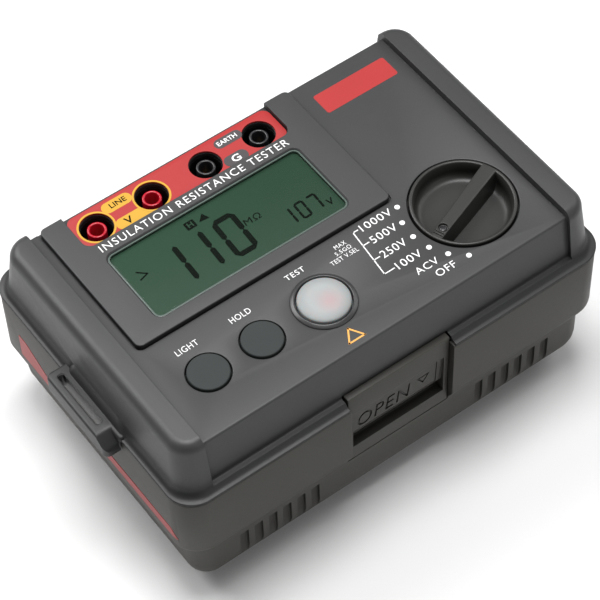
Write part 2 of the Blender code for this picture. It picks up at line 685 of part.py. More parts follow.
def build_front_housing(shop):
    """The upper shell with the panel, the cheeks, the flange and the strap lugs."""
    front = loft(shop, "front_housing", front_outside(), "case_grey")
    for side, name in ((-1, "left"), (1, "right")):
        add_lug(shop, front, side, name)
    inner = [corner_loop(CAVITY_X, CAVITY_Y, REAR_CORNER - CASE_WALL, z)
             for z in (FLANGE_Z - MM, PANEL_UNDER_Z)]
    cut(front, loft(shop, "cut_front_cavity", inner))
    cut(front, prism(shop, "cut_channel", channel_outline(), "X", -PANEL_X, PANEL_X))
    cut(front, slab(shop, "cut_plate_pocket", PLATE_LEFT - PLATE_GROOVE, PLATE_RIGHT + PLATE_GROOVE,
                    PLATE_FRONT - PLATE_GROOVE, HALF_Y + 5 * MM, PANEL_Z - PLATE_SINK,
                    PANEL_Z + MM, PLATE_CORNER))
    cut(front, slab(shop, "cut_display", WINDOW_LEFT + LCD_MARGIN - SEAM, WINDOW_RIGHT - LCD_MARGIN + SEAM,
                    WINDOW_FRONT + LCD_MARGIN - SEAM, WINDOW_BACK - LCD_MARGIN + SEAM,
                    PANEL_UNDER_Z - MM, PANEL_Z + MM, WINDOW_CORNER))
    for i, x in enumerate(jack_places(), start=1):
        cut(front, disc(shop, f"cut_jack_{i}", x, JACK_Y, JACK_WELL, PANEL_UNDER_Z - MM,
                        PANEL_Z + MM, steps=ROUND_STEPS))
    cut(front, disc(shop, "cut_knob", KNOB_X, KNOB_Y, KNOB_RADIUS + KNOB_GAP, PANEL_UNDER_Z - MM,
                    PANEL_Z + MM, steps=2 * ROUND_STEPS))
    for name, x in (("light", LIGHT_X), ("hold", HOLD_X)):
        cut(front, disc(shop, f"cut_{name}", x, KEY_Y, KEY_RADIUS + KEY_GAP, PANEL_UNDER_Z - MM,
                        PANEL_Z + MM, steps=ROUND_STEPS))
    cut(front, disc(shop, "cut_test", TEST_X, KEY_Y, TEST_HOLE, PANEL_UNDER_Z - MM,
                    PANEL_Z + MM, steps=ROUND_STEPS))
    notch = LATCH_NOTCH / 2 + LATCH_GAP / 2
    notch_top = TRAY_RIM_Z + LATCH_RISE + SEAM
    notch_wall = -TRAY_LOW_Y + LATCH_THICKNESS + SEAM
    cut(front, box(shop, "cut_flange_notch", (-notch, -HALF_Y - MM, FLANGE_Z - MM),
                   (notch, notch_wall, notch_top)))
    cut(front, box(shop, "cut_catch_seat", (-7 * MM, notch_wall - MM, FLANGE_Z - MM),
                   (7 * MM, notch_wall + 0.5 * MM, notch_top - 0.4 * MM)))
    for i, (x, y) in enumerate(screw_places(), start=1):
        boss = disc(shop, f"add_boss_{i}", x, y, BOSS_RADIUS, FLANGE_Z + SEAM, PANEL_UNDER_Z + 0.5 * MM)
        cut(boss, disc(shop, f"cut_boss_{i}", x, y, SCREW_RADIUS + SCREW_GAP, FLANGE_Z - MM,
                       PANEL_UNDER_Z - 2 * MM))
        join(front, boss)
    for i, (x, y) in enumerate(POST_PLACES, start=1):
        join(front, disc(shop, f"add_post_{i}", x, y, POST_RADIUS, ON_BOARD_Z,
                         PANEL_UNDER_Z + 0.5 * MM, steps=12))
    return front


# ---------------------------------------------------------------- rear housing and battery bay
def build_rear_housing(shop):
    """The lower shell with the battery bay opening downwards."""
    chamfer = REAR_CHAMFER
    rows = [
        (REAR_X - chamfer, REAR_Y - chamfer / 2, REAR_Z),
        (REAR_X - chamfer * 0.5, REAR_Y - chamfer * 0.2, REAR_Z + chamfer * 0.5),
        (REAR_X - 0.4 * MM, REAR_Y, REAR_Z + chamfer * 1.3),
        (REAR_X, REAR_Y, TRAY_RIM_Z),
    ]
    rear = loft(shop, "rear_housing", [corner_loop(x, y, REAR_CORNER, z) for x, y, z in rows],
                "case_dark")
    floor = REAR_Z + CASE_WALL
    inset = chamfer
    inner = [
        corner_loop(CAVITY_X - inset, CAVITY_Y - inset / 2, REAR_CORNER - CASE_WALL, floor),
        corner_loop(CAVITY_X - 0.5 * MM, CAVITY_Y, REAR_CORNER - CASE_WALL, floor + chamfer),
        corner_loop(CAVITY_X, CAVITY_Y, REAR_CORNER - CASE_WALL, TRAY_RIM_Z + MM),
    ]
    cut(rear, loft(shop, "cut_rear_inside", inner))
    bay_x = BAY_LENGTH / 2
    bay_y = BAY_WIDTH / 2
    bay_top = REAR_Z + DOOR_THICKNESS + 2 * SEAM + 2 * CELL_RADIUS + SEAM
    join(rear, box(shop, "add_bay", (-bay_x - BAY_WALL, -bay_y - BAY_WALL, REAR_Z + MM),
                   (bay_x + BAY_WALL, bay_y + BAY_WALL, bay_top + BAY_CEILING)))
    cut(rear, box(shop, "cut_bay", (-bay_x, -bay_y, REAR_Z - MM), (bay_x, bay_y, bay_top)))
    ledge_x = bay_x + DOOR_LEDGE
    ledge_y = bay_y + DOOR_LEDGE
    ledge_z = REAR_Z + DOOR_THICKNESS + SEAM
    tab_x = ledge_x + DOOR_TAB
    tab_y = DOOR_TAB
    screw_x = ledge_x + DOOR_TAB / 2 - 0.8 * MM
    cut(rear, box(shop, "cut_door_ledge", (-ledge_x, -ledge_y, REAR_Z - MM),
                  (ledge_x, ledge_y, ledge_z)))
    join(rear, disc(shop, "add_door_boss", screw_x, 0.0, BOSS_RADIUS, ledge_z + 0.2 * MM, ledge_z + 9 * MM))
    cut(rear, box(shop, "cut_door_tab", (ledge_x - MM, -tab_y, REAR_Z - MM), (tab_x - 1.5 * MM, tab_y, ledge_z)))
    cut(rear, disc(shop, "cut_door_screw", screw_x, 0.0, SCREW_RADIUS + SCREW_GAP / 2, REAR_Z - MM,
                   ledge_z + 8 * MM))
    for i, (x, y) in enumerate(screw_places(), start=1):
        join(rear, disc(shop, f"add_rear_boss_{i}", x, y, BOSS_RADIUS, REAR_Z + MM, TRAY_RIM_Z))
        cut(rear, disc(shop, f"cut_rear_screw_{i}", x, y, SCREW_RADIUS + SCREW_GAP, REAR_Z - MM,
                       TRAY_RIM_Z + MM))
        cut(rear, disc(shop, f"cut_rear_head_{i}", x, y, SCREW_HEAD + SCREW_GAP, REAR_Z - MM,
                       REAR_Z + SCREW_HEAD_HEIGHT + 2 * SEAM))
    for i, (x, y) in enumerate(POST_PLACES, start=1):
        over_bay = abs(y) < bay_y + BAY_WALL
        foot = bay_top + BAY_CEILING / 2 if over_bay else REAR_Z + MM
        join(rear, disc(shop, f"add_rear_post_{i}", x, y, POST_RADIUS, foot, BOARD_Z - SEAM,
                        steps=12))

    door = box(shop, "battery_door", (-ledge_x + SEAM, -ledge_y + SEAM, REAR_Z),
               (ledge_x - SEAM, ledge_y - SEAM, REAR_Z + DOOR_THICKNESS), "case_dark")
    join(door, box(shop, "add_door_tab", (ledge_x - MM, -tab_y + SEAM, REAR_Z),
                   (tab_x - 1.5 * MM - SEAM, tab_y - SEAM, REAR_Z + DOOR_THICKNESS)))
    cut(door, disc(shop, "cut_door_hole", screw_x, 0.0, SCREW_RADIUS + SCREW_GAP, REAR_Z - MM,
                   REAR_Z + 5 * MM))
    head = (SCREW_HEAD, SCREW_RADIUS)
    build_screw(shop, "battery_door_screw", screw_x, 0.0, REAR_Z - SEAM - 1.3 * MM,
                1.3 * MM, REAR_Z + DOOR_THICKNESS + 6 * MM, head)
    build_cells(shop, bay_x)
    for i, (x, y) in enumerate(screw_places(), start=1):
        build_screw(shop, f"housing_screw_{i}", x, y, REAR_Z + SEAM, SCREW_HEAD_HEIGHT,
                    PANEL_UNDER_Z - 4 * MM, head)
    return rear


def build_screw(shop, name, x, y, low, head_height, tip, radii):
    """A pan-head screw that points up, with a drive slot."""
    head, shank = radii
    profile = [
        (0.0, tip - low),
        (shank * 0.6, tip - low - shank * 0.4),
        (shank, tip - low - shank * 1.4),
        (shank, head_height),
        (head, head_height),
        (head, head_height * 0.3),
        (head * 0.8, 0.0),
        (0.0, 0.0),
    ]
    screw = turned(shop, name, (x, y, low), profile, "steel_bright", steps=14)
    cut(screw, box(shop, f"cut_{name}", (x - head * 0.7, y - 0.35 * MM, low - MM),
                   (x + head * 0.7, y + 0.35 * MM, low + head_height * 0.4)))
    return screw


def build_cells(shop, bay_x):
    """Six cells in three rows, and the contact strips at the bay's ends."""
    cell_z = REAR_Z + DOOR_THICKNESS + 2 * SEAM + CELL_RADIUS
    profile = [
        (0.0, CELL_LENGTH),
        (CELL_NUB_RADIUS, CELL_LENGTH),
        (CELL_NUB_RADIUS, CELL_LENGTH - CELL_NUB),
        (CELL_RADIUS - 0.8 * MM, CELL_LENGTH - CELL_NUB),
        (CELL_RADIUS, CELL_LENGTH - CELL_NUB - 0.8 * MM),
        (CELL_RADIUS, 0.4 * MM),
        (CELL_RADIUS - 0.4 * MM, 0.0),
        (0.0, 0.0),
    ]
    number = 0
    for row in range(CELL_ROWS):
        y = (row - (CELL_ROWS - 1) / 2) * CELL_PITCH
        turn = 1 if row % 2 else -1
        for column in (-1, 1):
            number += 1
            middle = column * (CELL_LENGTH + 2 * SEAM) / 2
            start = middle - turn * CELL_LENGTH / 2
            cell = turned(shop, f"battery_{number}", (start, y, cell_z), profile, "cell_wrap",
                          steps=18)
            cell.rotation_euler = (0.0, turn * math.pi / 2, 0.0)
    reach = CELL_LENGTH + SEAM
    for side, name in ((-1, "left"), (1, "right")):
        inner = side * (reach + 2 * SEAM)
        strip = sorted((inner, inner + side * CONTACT_THICKNESS))
        plate = box(shop, f"battery_contact_{name}",
                    (strip[0], -BAY_WIDTH / 2 + MM, cell_z - 5.5 * MM),
                    (strip[1], BAY_WIDTH / 2 - MM, cell_z + 5.5 * MM), "steel_bright")
        for row in range(CELL_ROWS):
            y = (row - (CELL_ROWS - 1) / 2) * CELL_PITCH
            stem = disc(shop, f"add_contact_{name}_{row}", 0.0, 0.0, 2.6 * MM,
                        -(bay_x - reach - CONTACT_THICKNESS - 3 * SEAM), 0.0, steps=12)
            stem.location = (inner + side * CONTACT_THICKNESS / 2, y, cell_z)
            stem.rotation_euler = (0.0, -side * math.pi / 2, 0.0)
            join(plate, stem)


# ---------------------------------------------------------------- display
def jack_places():
    return [JACK_FIRST + i * JACK_PITCH for i in range(JACK_COUNT)]


def build_display(shop):
    """The display plate, the window, the display and what holds and lights it."""
    back = WALL_TOP_Y - FRONT_WALL_SET_BACK - PLATE_BACK_MARGIN
    plate = slab(shop, "display_plate", PLATE_LEFT, PLATE_RIGHT, PLATE_FRONT, back,
                 PLATE_BOTTOM_Z, PLATE_TOP_Z, PLATE_CORNER, "panel_grey")
    window_z = PLATE_TOP_Z - WINDOW_SINK
    cut(plate, slab(shop, "cut_window", WINDOW_LEFT, WINDOW_RIGHT, WINDOW_FRONT, WINDOW_BACK,
                    PLATE_BOTTOM_Z - MM, PLATE_TOP_Z + MM, WINDOW_CORNER))
    left = JACK_FIRST - LABEL_MARGIN
    right = jack_places()[-1] + LABEL_RIGHT
    cut(plate, slab(shop, "cut_label_notch", left - SEAM, right + SEAM, LABEL_FRONT - SEAM,
                    HALF_Y + 5 * MM, PLATE_BOTTOM_Z - MM, PLATE_TOP_Z + MM, LABEL_CORNER))
    slab(shop, "lcd_window", WINDOW_LEFT + SEAM, WINDOW_RIGHT - SEAM, WINDOW_FRONT + SEAM,
         WINDOW_BACK - SEAM, window_z - WINDOW_THICKNESS, window_z, WINDOW_CORNER - SEAM, "window_clear")
    lcd_top = window_z - WINDOW_THICKNESS - SEAM
    edge = LCD_MARGIN
    lcd_low = lcd_top - LCD_THICKNESS
    slab(shop, "lcd_panel", WINDOW_LEFT + edge, WINDOW_RIGHT - edge, WINDOW_FRONT + edge,
         WINDOW_BACK - edge, lcd_low, lcd_top, WINDOW_CORNER - edge, "lcd_green")
    light_top = lcd_low - SEAM
    light_low = light_top - LIGHT_THICKNESS
    slab(shop, "backlight_panel", WINDOW_LEFT + edge, WINDOW_RIGHT - edge, WINDOW_FRONT + edge,
         WINDOW_BACK - edge, light_low, light_top, WINDOW_CORNER - edge, "diffuser_white")
    wall = FRAME_WALL
    frame_top = PANEL_UNDER_Z - SEAM
    frame = slab(shop, "lcd_frame", WINDOW_LEFT + edge - SEAM - wall, WINDOW_RIGHT - edge + SEAM + wall,
                 WINDOW_FRONT + edge - SEAM - wall, WINDOW_BACK - edge + SEAM + wall,
                 light_low - SEAM - wall, frame_top, WINDOW_CORNER, "case_dark")
    cut(frame, slab(shop, "cut_lcd_frame", WINDOW_LEFT + edge - SEAM, WINDOW_RIGHT - edge + SEAM,
                    WINDOW_FRONT + edge - SEAM, WINDOW_BACK - edge + SEAM, light_low - SEAM,
                    PANEL_Z, WINDOW_CORNER - edge))
    return plate


# ---------------------------------------------------------------- terminals
def build_terminals(shop):
    """The label, the block with four wells, and each jack's tube and socket."""
    left = JACK_FIRST - LABEL_MARGIN
    right = jack_places()[-1] + LABEL_RIGHT
    label_z = PANEL_Z - PLATE_SINK + SEAM
    back = WALL_TOP_Y - FRONT_WALL_SET_BACK - 1.3 * MM
    label = slab(shop, "terminal_label", left, right, LABEL_FRONT, back, label_z,
                 label_z + LABEL_THICKNESS, LABEL_CORNER - SEAM, "label_red")
    block_top = PANEL_UNDER_Z - SEAM
    well_floor = PANEL_Z - JACK_DEPTH
    half = JACK_WELL + BLOCK_WALL
    places = jack_places()
    block = box(shop, "terminal_block", (places[0] - half, JACK_Y - half, well_floor - 3 * MM),
                (places[-1] + half, JACK_Y + half, block_top), "case_black")
    bevel(block, 0.6 * MM, 1)
    for i, x in enumerate(places, start=1):
        cut(label, disc(shop, f"cut_label_{i}", x, JACK_Y, JACK_WELL + 0.1 * MM, label_z - MM,
                        label_z + 3 * MM, steps=ROUND_STEPS))
        cut(block, disc(shop, f"cut_well_{i}", x, JACK_Y, JACK_WELL, well_floor, block_top + MM,
                        steps=ROUND_STEPS))
        cut(block, disc(shop, f"cut_tail_{i}", x, JACK_Y, 1.6 * MM, well_floor - 5 * MM,
                        well_floor + MM, steps=12))
        top = PANEL_Z - JACK_SINK
        floor = well_floor + SEAM
        tube = [
            (JACK_BORE, top),
            (JACK_TUBE, top),
            (JACK_TUBE, floor),
            (JACK_BORE, floor),
        ]
        turned(shop, f"jack_tube_{i}", (x, JACK_Y, 0.0), tube,
               "jack_red" if i < 3 else "case_black", steps=20)
        socket = JACK_BORE - 0.03 * MM
        tail = well_floor - 6 * MM
        sleeve = [
            (JACK_PIN, top - 2 * MM),
            (socket, top - 2 * MM),
            (socket, floor + 0.4 * MM),
            (1.2 * MM, floor + 0.4 * MM),
            (1.2 * MM, tail),
            (0.0, tail),
            (0.0, floor + 1.6 * MM),
            (JACK_PIN, floor + 1.6 * MM),
        ]
        turned(shop, f"jack_socket_{i}", (x, JACK_Y, 0.0), sleeve, "brass", steps=16)
    return label


# ---------------------------------------------------------------- keys
def spring(shop, name, x, y, radius, low, high):
    """A coil spring of round wire, standing on the board."""
    per_turn = 9
    count = int(SPRING_TURNS * per_turn)
    curve = bpy.data.curves.new(name, "CURVE")
    curve.dimensions = "3D"
    curve.bevel_depth = SPRING_WIRE
    curve.bevel_resolution = 1
    curve.use_fill_caps = True
    spline = curve.splines.new("POLY")
    spline.points.add(count)
    for i in range(count + 1):
        angle = 2 * math.pi * i / per_turn
        height = fraction(low + SPRING_WIRE, high - SPRING_WIRE, i / count)
        spline.points[i].co = (x + radius * math.cos(angle), y + radius * math.sin(angle), height, 1.0)
    obj = bpy.data.objects.new(name, curve)
    shop.parts.objects.link(obj)
    curve.materials.append(shop.finish("steel_bright"))
    weld = obj.modifiers.new("weld", "WELD")
    weld.merge_threshold = 0.00001
    return obj


def key_levels():
    """Heights shared by the keys: flange top, flange underside and the stem's tip."""
    flange_top = PANEL_UNDER_Z - SEAM
    flange_low = flange_top - KEY_FLANGE_THICKNESS
    tip = ON_BOARD_Z + SWITCH_HEIGHT + KEY_TRAVEL + SEAM
    return flange_top, flange_low, tip


def build_key(shop, name, x):
    """A round key with its retaining flange and stem."""
    flange_top, flange_low, tip = key_levels()
    top = PANEL_Z + KEY_RAISE
    flange = KEY_RADIUS + KEY_GAP + KEY_FLANGE
    profile = [
        (0.0, top),
        (KEY_RADIUS - KEY_ROUND, top),
        (KEY_RADIUS - KEY_ROUND * 0.3, top - KEY_ROUND * 0.3),
        (KEY_RADIUS, top - KEY_ROUND),
        (KEY_RADIUS, flange_top),
        (flange, flange_top),
        (flange, flange_low),
        (STEM_RADIUS, flange_low),
        (STEM_RADIUS, tip),
        (0.0, tip),
    ]
    turned(shop, f"{name}_button", (x, KEY_Y, 0.0), profile, "key_rubber")
    build_switch(shop, f"{name}_switch", x, KEY_Y)
    spring(shop, f"{name}_spring", x, KEY_Y, SWITCH_SIDE * 0.86, ON_BOARD_Z, flange_low - SEAM)


def build_switch(shop, name, x, y):
    """A push switch on the board."""
    half = SWITCH_SIDE / 2
    body = box(shop, name, (x - half, y - half, ON_BOARD_Z),
               (x + half, y + half, ON_BOARD_Z + SWITCH_HEIGHT * 0.8), "case_black")
    join(body, disc(shop, f"add_{name}", x, y, 1.7 * MM, ON_BOARD_Z + SWITCH_HEIGHT * 0.5,
                    ON_BOARD_Z + SWITCH_HEIGHT, steps=12))
    return body


def build_test_key(shop):
    """The big lit key: a fixed bezel, the clear dome that is pressed, and its lamp."""
    flange_top, flange_low, tip = key_levels()
    hole = TEST_RADIUS + TEST_GAP
    bezel = [
        (hole, PANEL_Z + BEZEL_RAISE * 0.6),
        (hole + BEZEL_LAND, PANEL_Z + BEZEL_RAISE),
        (BEZEL_RADIUS - BEZEL_LAND / 2, PANEL_Z + SEAM * 2),
        (BEZEL_RADIUS, PANEL_Z + SEAM),
        (TEST_HOLE - SEAM, PANEL_Z + SEAM),
        (TEST_HOLE - SEAM, PANEL_UNDER_Z),
        (hole, PANEL_UNDER_Z),
    ]
    turned(shop, "test_bezel", (TEST_X, KEY_Y, 0.0), bezel, "case_grey", steps=40)
    top = PANEL_Z + TEST_RAISE
    flange = hole + TEST_FLANGE
    inner = TEST_RADIUS - TEST_SKIN
    profile = [(0.0, top)]
    for i in range(1, 5):
        angle = math.pi / 2 * i / 4
        profile.append((TEST_RADIUS * math.sin(angle), top - TEST_DOME * (1 - math.cos(angle))))
    profile += [
        (TEST_RADIUS, flange_top),
        (flange, flange_top),
        (flange, flange_low),
        (inner, flange_low),
        (inner, top - TEST_DOME - TEST_SKIN),
        (0.0, top - TEST_DOME - TEST_SKIN),
    ]
    button = turned(shop, "test_button", (TEST_X, KEY_Y, 0.0), profile, "lens_milky", steps=40)
    leg_x = TEST_X + TEST_RADIUS
    join(button, disc(shop, "add_test_leg", leg_x, KEY_Y, 1.0 * MM, tip, flange_low + 0.5 * MM,
                      steps=12))
    build_switch(shop, "test_switch", leg_x, KEY_Y)
    disc(shop, "test_lamp", TEST_X, KEY_Y, LAMP_RADIUS, ON_BOARD_Z, ON_BOARD_Z + LAMP_HEIGHT,
         "lens_red", steps=20, top=LAMP_RADIUS * 0.7)
    coil = (LAMP_RADIUS + TEST_RADIUS - SWITCH_SIDE / 2) / 2 + 0.4 * MM
    spring(shop, "test_spring", TEST_X, KEY_Y, coil, ON_BOARD_Z, top - TEST_DOME - TEST_SKIN - SEAM)


# ---------------------------------------------------------------- selector
def build_selector(shop):
    """The dished knob with its bar and pointer, and the rotary switch under it."""
    rim = PANEL_Z + KNOB_RAISE
    low = PANEL_Z - KNOB_DEPTH
    dish = rim - KNOB_DISH
    skirt_top = PANEL_UNDER_Z - SEAM
    skirt = KNOB_RADIUS + KNOB_GAP + KNOB_SKIRT
    stem_low = ON_BOARD_Z + ROTARY_WALL + SEAM
    profile = [
        (0.0, dish - 0.3 * MM),
        (KNOB_DISH_FLOOR * 0.6, dish - 0.2 * MM),
        (KNOB_DISH_FLOOR, dish + 0.3 * MM),
        (KNOB_RADIUS - KNOB_RIM - 1.2 * MM, dish + 1.8 * MM),
        (KNOB_RADIUS - KNOB_RIM, rim),
        (KNOB_RADIUS - 0.2 * MM, rim),
        (KNOB_RADIUS, rim - 0.3 * MM),
        (KNOB_RADIUS, skirt_top),
        (skirt, skirt_top),
        (skirt, skirt_top - 1.2 * MM),
        (KNOB_RADIUS, skirt_top - 1.5 * MM),
        (KNOB_RADIUS - MM, low),
        (SHAFT_RADIUS, low),
        (SHAFT_RADIUS, stem_low),
        (0.0, stem_low),
    ]
    knob = turned(shop, "selector_knob", (0.0, 0.0, 0.0), profile, "case_dark", steps=48)
    length = KNOB_RADIUS - 0.35 * MM
    bar = prism(shop, "add_bar", [
        (-KNOB_BAR / 2, rim), (-KNOB_BAR / 2 - 0.6 * MM, rim - 2.5 * MM), (-KNOB_BAR_FOOT / 2, dish - 0.6 * MM),
        (KNOB_BAR_FOOT / 2, dish - 0.6 * MM), (KNOB_BAR / 2 + 0.6 * MM, rim - 2.5 * MM), (KNOB_BAR / 2, rim),
    ], "X", -length, length)
    join(knob, bar)
    cut(knob, disc(shop, "cut_pointer", POINTER_PLACE, 0.0, POINTER_RADIUS + SEAM, rim - POINTER_DEPTH,
                   rim + MM, steps=SMALL_STEPS))
    dot = disc(shop, "knob_pointer", POINTER_PLACE, 0.0, POINTER_RADIUS, rim - POINTER_DEPTH + SEAM,
               rim - 0.1 * MM, "pointer_white")
    centre = (KNOB_X, KNOB_Y, 0.0)
    for obj in (knob, dot):
        obj.location = centre
        obj.rotation_euler = (0.0, 0.0, POINTER_ANGLE)
    for tool in (bar, bpy.data.objects["cut_pointer"]):
        tool.location = centre
        tool.rotation_euler = (0.0, 0.0, POINTER_ANGLE)

    body_top = ON_BOARD_Z + ROTARY_HEIGHT
    floor = ON_BOARD_Z + ROTARY_WALL
    body = [
        (ROTARY_RADIUS - ROTARY_WALL, body_top),
        (ROTARY_RADIUS, body_top),
        (ROTARY_RADIUS, ON_BOARD_Z),
        (0.0, ON_BOARD_Z),
        (0.0, floor),
        (ROTARY_RADIUS - ROTARY_WALL, floor),
    ]
    turned(shop, "rotary_switch_body", (KNOB_X, KNOB_Y, 0.0), body, "case_black")
    rotor_low = floor + SEAM
    hub_top = min(body_top + 0.6 * MM, low - SEAM)
    bore = SHAFT_RADIUS + SEAM
    rotor = [
        (bore, hub_top),
        (ROTOR_HUB, hub_top),
        (ROTOR_HUB, rotor_low + ROTOR_THICKNESS),
        (ROTARY_RADIUS - ROTARY_WALL - SEAM, rotor_low + ROTOR_THICKNESS),
        (ROTARY_RADIUS - ROTARY_WALL - SEAM, rotor_low),
        (bore, rotor_low),
    ]
    turned(shop, "rotary_switch_rotor", (KNOB_X, KNOB_Y, 0.0), rotor, "rotor_cream")
    return knob


# ---------------------------------------------------------------- electronics
def build_board(shop):
    """The main board and the larger things on it."""
    box(shop, "main_board", (BOARD_LEFT, BOARD_FRONT, BOARD_Z), (BOARD_RIGHT, BOARD_BACK, BOARD_TOP_Z),
        "board_green")
    sx, sy, sz = TRANSFORMER_SIZE
    core = box(shop, "step_up_transformer", (-34 * MM, 2 * MM, ON_BOARD_Z),
               (-34 * MM + sx, 2 * MM + sy, ON_BOARD_Z + sz), "core_yellow")
    bevel(core, 0.8 * MM, 1)
    disc(shop, "buzzer", 42.0 * MM, 10.0 * MM, BUZZER_RADIUS, ON_BOARD_Z, ON_BOARD_Z + BUZZER_HEIGHT,
         "case_black", steps=24)


# ---------------------------------------------------------------- finishes
# name: colour, roughness, metallic, alpha
FINISHES = {
    "case_grey": ((0.115, 0.115, 0.117), 0.45, 0.0, 1.0),
    "panel_grey": ((0.125, 0.125, 0.13), 0.5, 0.0, 1.0),
    "case_dark": ((0.085, 0.085, 0.078), 0.45, 0.0, 1.0),
    "tray_plastic": ((0.09, 0.088, 0.078), 0.45, 0.0, 1.0),
    "case_black": ((0.02, 0.02, 0.02), 0.4, 0.0, 1.0),
    "stripe_red": ((0.62, 0.03, 0.04), 0.45, 0.0, 1.0),
    "rubber_black": ((0.02, 0.02, 0.02), 0.8, 0.0, 1.0),
    "key_rubber": ((0.05, 0.062, 0.062), 0.7, 0.0, 1.0),
    "lens_milky": ((0.75, 0.73, 0.72), 0.3, 0.0, 1.0),
    "lens_red": ((0.7, 0.05, 0.03), 0.2, 0.0, 1.0),
    "lcd_green": ((0.05, 0.11, 0.065), 0.25, 0.0, 1.0),
    "window_clear": ((0.9, 0.95, 0.92), 0.05, 0.0, 0.2),
    "diffuser_white": ((0.85, 0.85, 0.82), 0.5, 0.0, 1.0),
    "label_red": ((0.66, 0.03, 0.03), 0.5, 0.0, 1.0),
    "jack_red": ((0.6, 0.01, 0.02), 0.35, 0.0, 1.0),
    "brass": ((0.8, 0.6, 0.25), 0.3, 1.0, 1.0),
    "steel_bright": ((0.6, 0.6, 0.62), 0.3, 1.0, 1.0),
    "cell_wrap": ((0.15, 0.25, 0.5), 0.4, 0.0, 1.0),
    "board_green": ((0.02, 0.15, 0.06), 0.5, 0.0, 1.0),
    "core_yellow": ((0.75, 0.55, 0.1), 0.5, 0.0, 1.0),
    "rotor_cream": ((0.75, 0.7, 0.6), 0.5, 0.0, 1.0),
    "pointer_white": ((0.85, 0.85, 0.85), 0.4, 0.0, 1.0),
}


def main():
    clear_scene()
    shop = Workshop()
    build_tray(shop)
    build_latch(shop)
    build_front_housing(shop)
    build_rear_housing(shop)
    build_display(shop)
    build_terminals(shop)
    build_key(shop, "light", LIGHT_X)
    build_key(shop, "hold", HOLD_X)
    build_test_key(shop)
    build_selector(shop)
    build_board(shop)


if __name__ == "__main__":
    main()
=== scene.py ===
"""Looks of a hand-held insulation resistance tester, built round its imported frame.

Lengths are in metres, worked out from the frame where it holds them. +Z is up, -Y faces the user.
"""

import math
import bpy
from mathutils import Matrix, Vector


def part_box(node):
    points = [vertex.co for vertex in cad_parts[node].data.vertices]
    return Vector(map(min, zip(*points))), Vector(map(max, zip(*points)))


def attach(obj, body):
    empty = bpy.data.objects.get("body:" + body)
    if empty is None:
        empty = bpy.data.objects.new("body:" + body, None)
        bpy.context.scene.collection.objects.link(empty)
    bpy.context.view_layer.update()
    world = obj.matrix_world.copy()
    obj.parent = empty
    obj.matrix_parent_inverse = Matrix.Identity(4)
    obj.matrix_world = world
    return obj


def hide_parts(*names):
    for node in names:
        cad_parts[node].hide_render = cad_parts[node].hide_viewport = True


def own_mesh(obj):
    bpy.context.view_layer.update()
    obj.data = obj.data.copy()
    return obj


bl_info = {
    "name": "Insulation resistance tester",
    "version": (1, 0, 0),
    "blender": (4, 5, 0),
    "location": "3D View > Sidebar > Tester",
    "description": "Builds the tester's visible pieces and finishes around its packed frame",
    "category": "Object",
}

import bmesh
import bpy
from bpy.props import FloatProperty, FloatVectorProperty, PointerProperty
from mathutils import Matrix, Vector

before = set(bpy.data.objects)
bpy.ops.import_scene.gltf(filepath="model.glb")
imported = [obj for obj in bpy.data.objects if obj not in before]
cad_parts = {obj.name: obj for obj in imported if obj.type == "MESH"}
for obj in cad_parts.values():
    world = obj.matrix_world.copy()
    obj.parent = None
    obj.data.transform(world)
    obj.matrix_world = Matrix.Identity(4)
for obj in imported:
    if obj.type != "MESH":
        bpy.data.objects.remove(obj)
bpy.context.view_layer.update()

MM = 0.001

# ---------------------------------------------------------------- sizes that the frame doesn't give
SEAM = 0.3 * MM                 # gap between two pieces that touch
SOFT = 0.35 * MM                # a moulded edge's usual rounding
INK = 0.03 * MM                 # thickness of print
CASE_WALL = 2.2 * MM            # the panel and the walls of the upper housing
CHEEK_RISE = 2.7 * MM           # cheeks above the panel
CHEEK_WIDTH = 8.2 * MM          # from the side wall's top to the panel
CHEEK_ROUND = 3.4 * MM
FLANGE_CORNER = 8.7 * MM
FLANGE_EDGE = 0.5 * MM          # upright edge of the flange
FLARE_TURN = 0.2 * MM           # small rounding where the flange's edge turns inwards
FLARE_HEIGHT = 3.7 * MM         # from that edge up to the side wall
WALL_CORNER = 7.0 * MM
LIP_HEIGHT = 1.9 * MM           # lip at the foot of the front wall, above the flange underside
TRAY_INSET = 0.2 * MM           # tray rim inside the flange
TRAY_WALL = 2.4 * MM
TRAY_CORNER = 8.5 * MM
TRAY_LOW_CORNER = 6.5 * MM      # below the waist
TRAY_ROUND = 11.3 * MM          # rounding between its side and its base
RIM_ROUND = 0.5 * MM
REAR_CLEAR_X = 1.0 * MM         # rear housing inside the tray wall
REAR_CLEAR_Y = 4.2 * MM
FOOT_SINK = 0.7 * MM            # how far a foot is let into the tray
FOOT_RADIUS = 5.0 * MM
STRIPE_DEPTH = 0.55 * MM        # how far an inlay is let into the tray
LATCH_HALF = 18.0 * MM          # half of the latch's width
PULL_HALF = 16.3 * MM           # half of its finger pull's
JACK_WELL = 5.0 * MM
KNOB_RADIUS = 15.6 * MM
KNOB_GAP = 0.5 * MM
KEY_RADIUS = 6.1 * MM
KEY_GAP = 0.45 * MM
KEY_STEM = 2.2 * MM
KEY_FLANGE = 1.5 * MM           # what a key stands on under the panel, out and down
TEST_RADIUS = 7.7 * MM
TEST_FLANGE = 9.1 * MM
TEST_SKIN = 2.7 * MM            # from the lens's top to its hollow
COLLAR_IN = 8.15 * MM
COLLAR_OUT = 9.7 * MM
COLLAR_NECK = 8.9 * MM          # where the collar goes through the panel
TEST_HOLE = 9.2 * MM
POINTER = math.radians(200.8)   # where the knob points at rest
DETENT = math.radians(17.76)    # from one step of the knob to the next
POINTER_PLACE = 11.1 * MM       # its mark, from the knob's centre
SHARP = math.radians(30)        # edges above this angle aren't shaded smooth


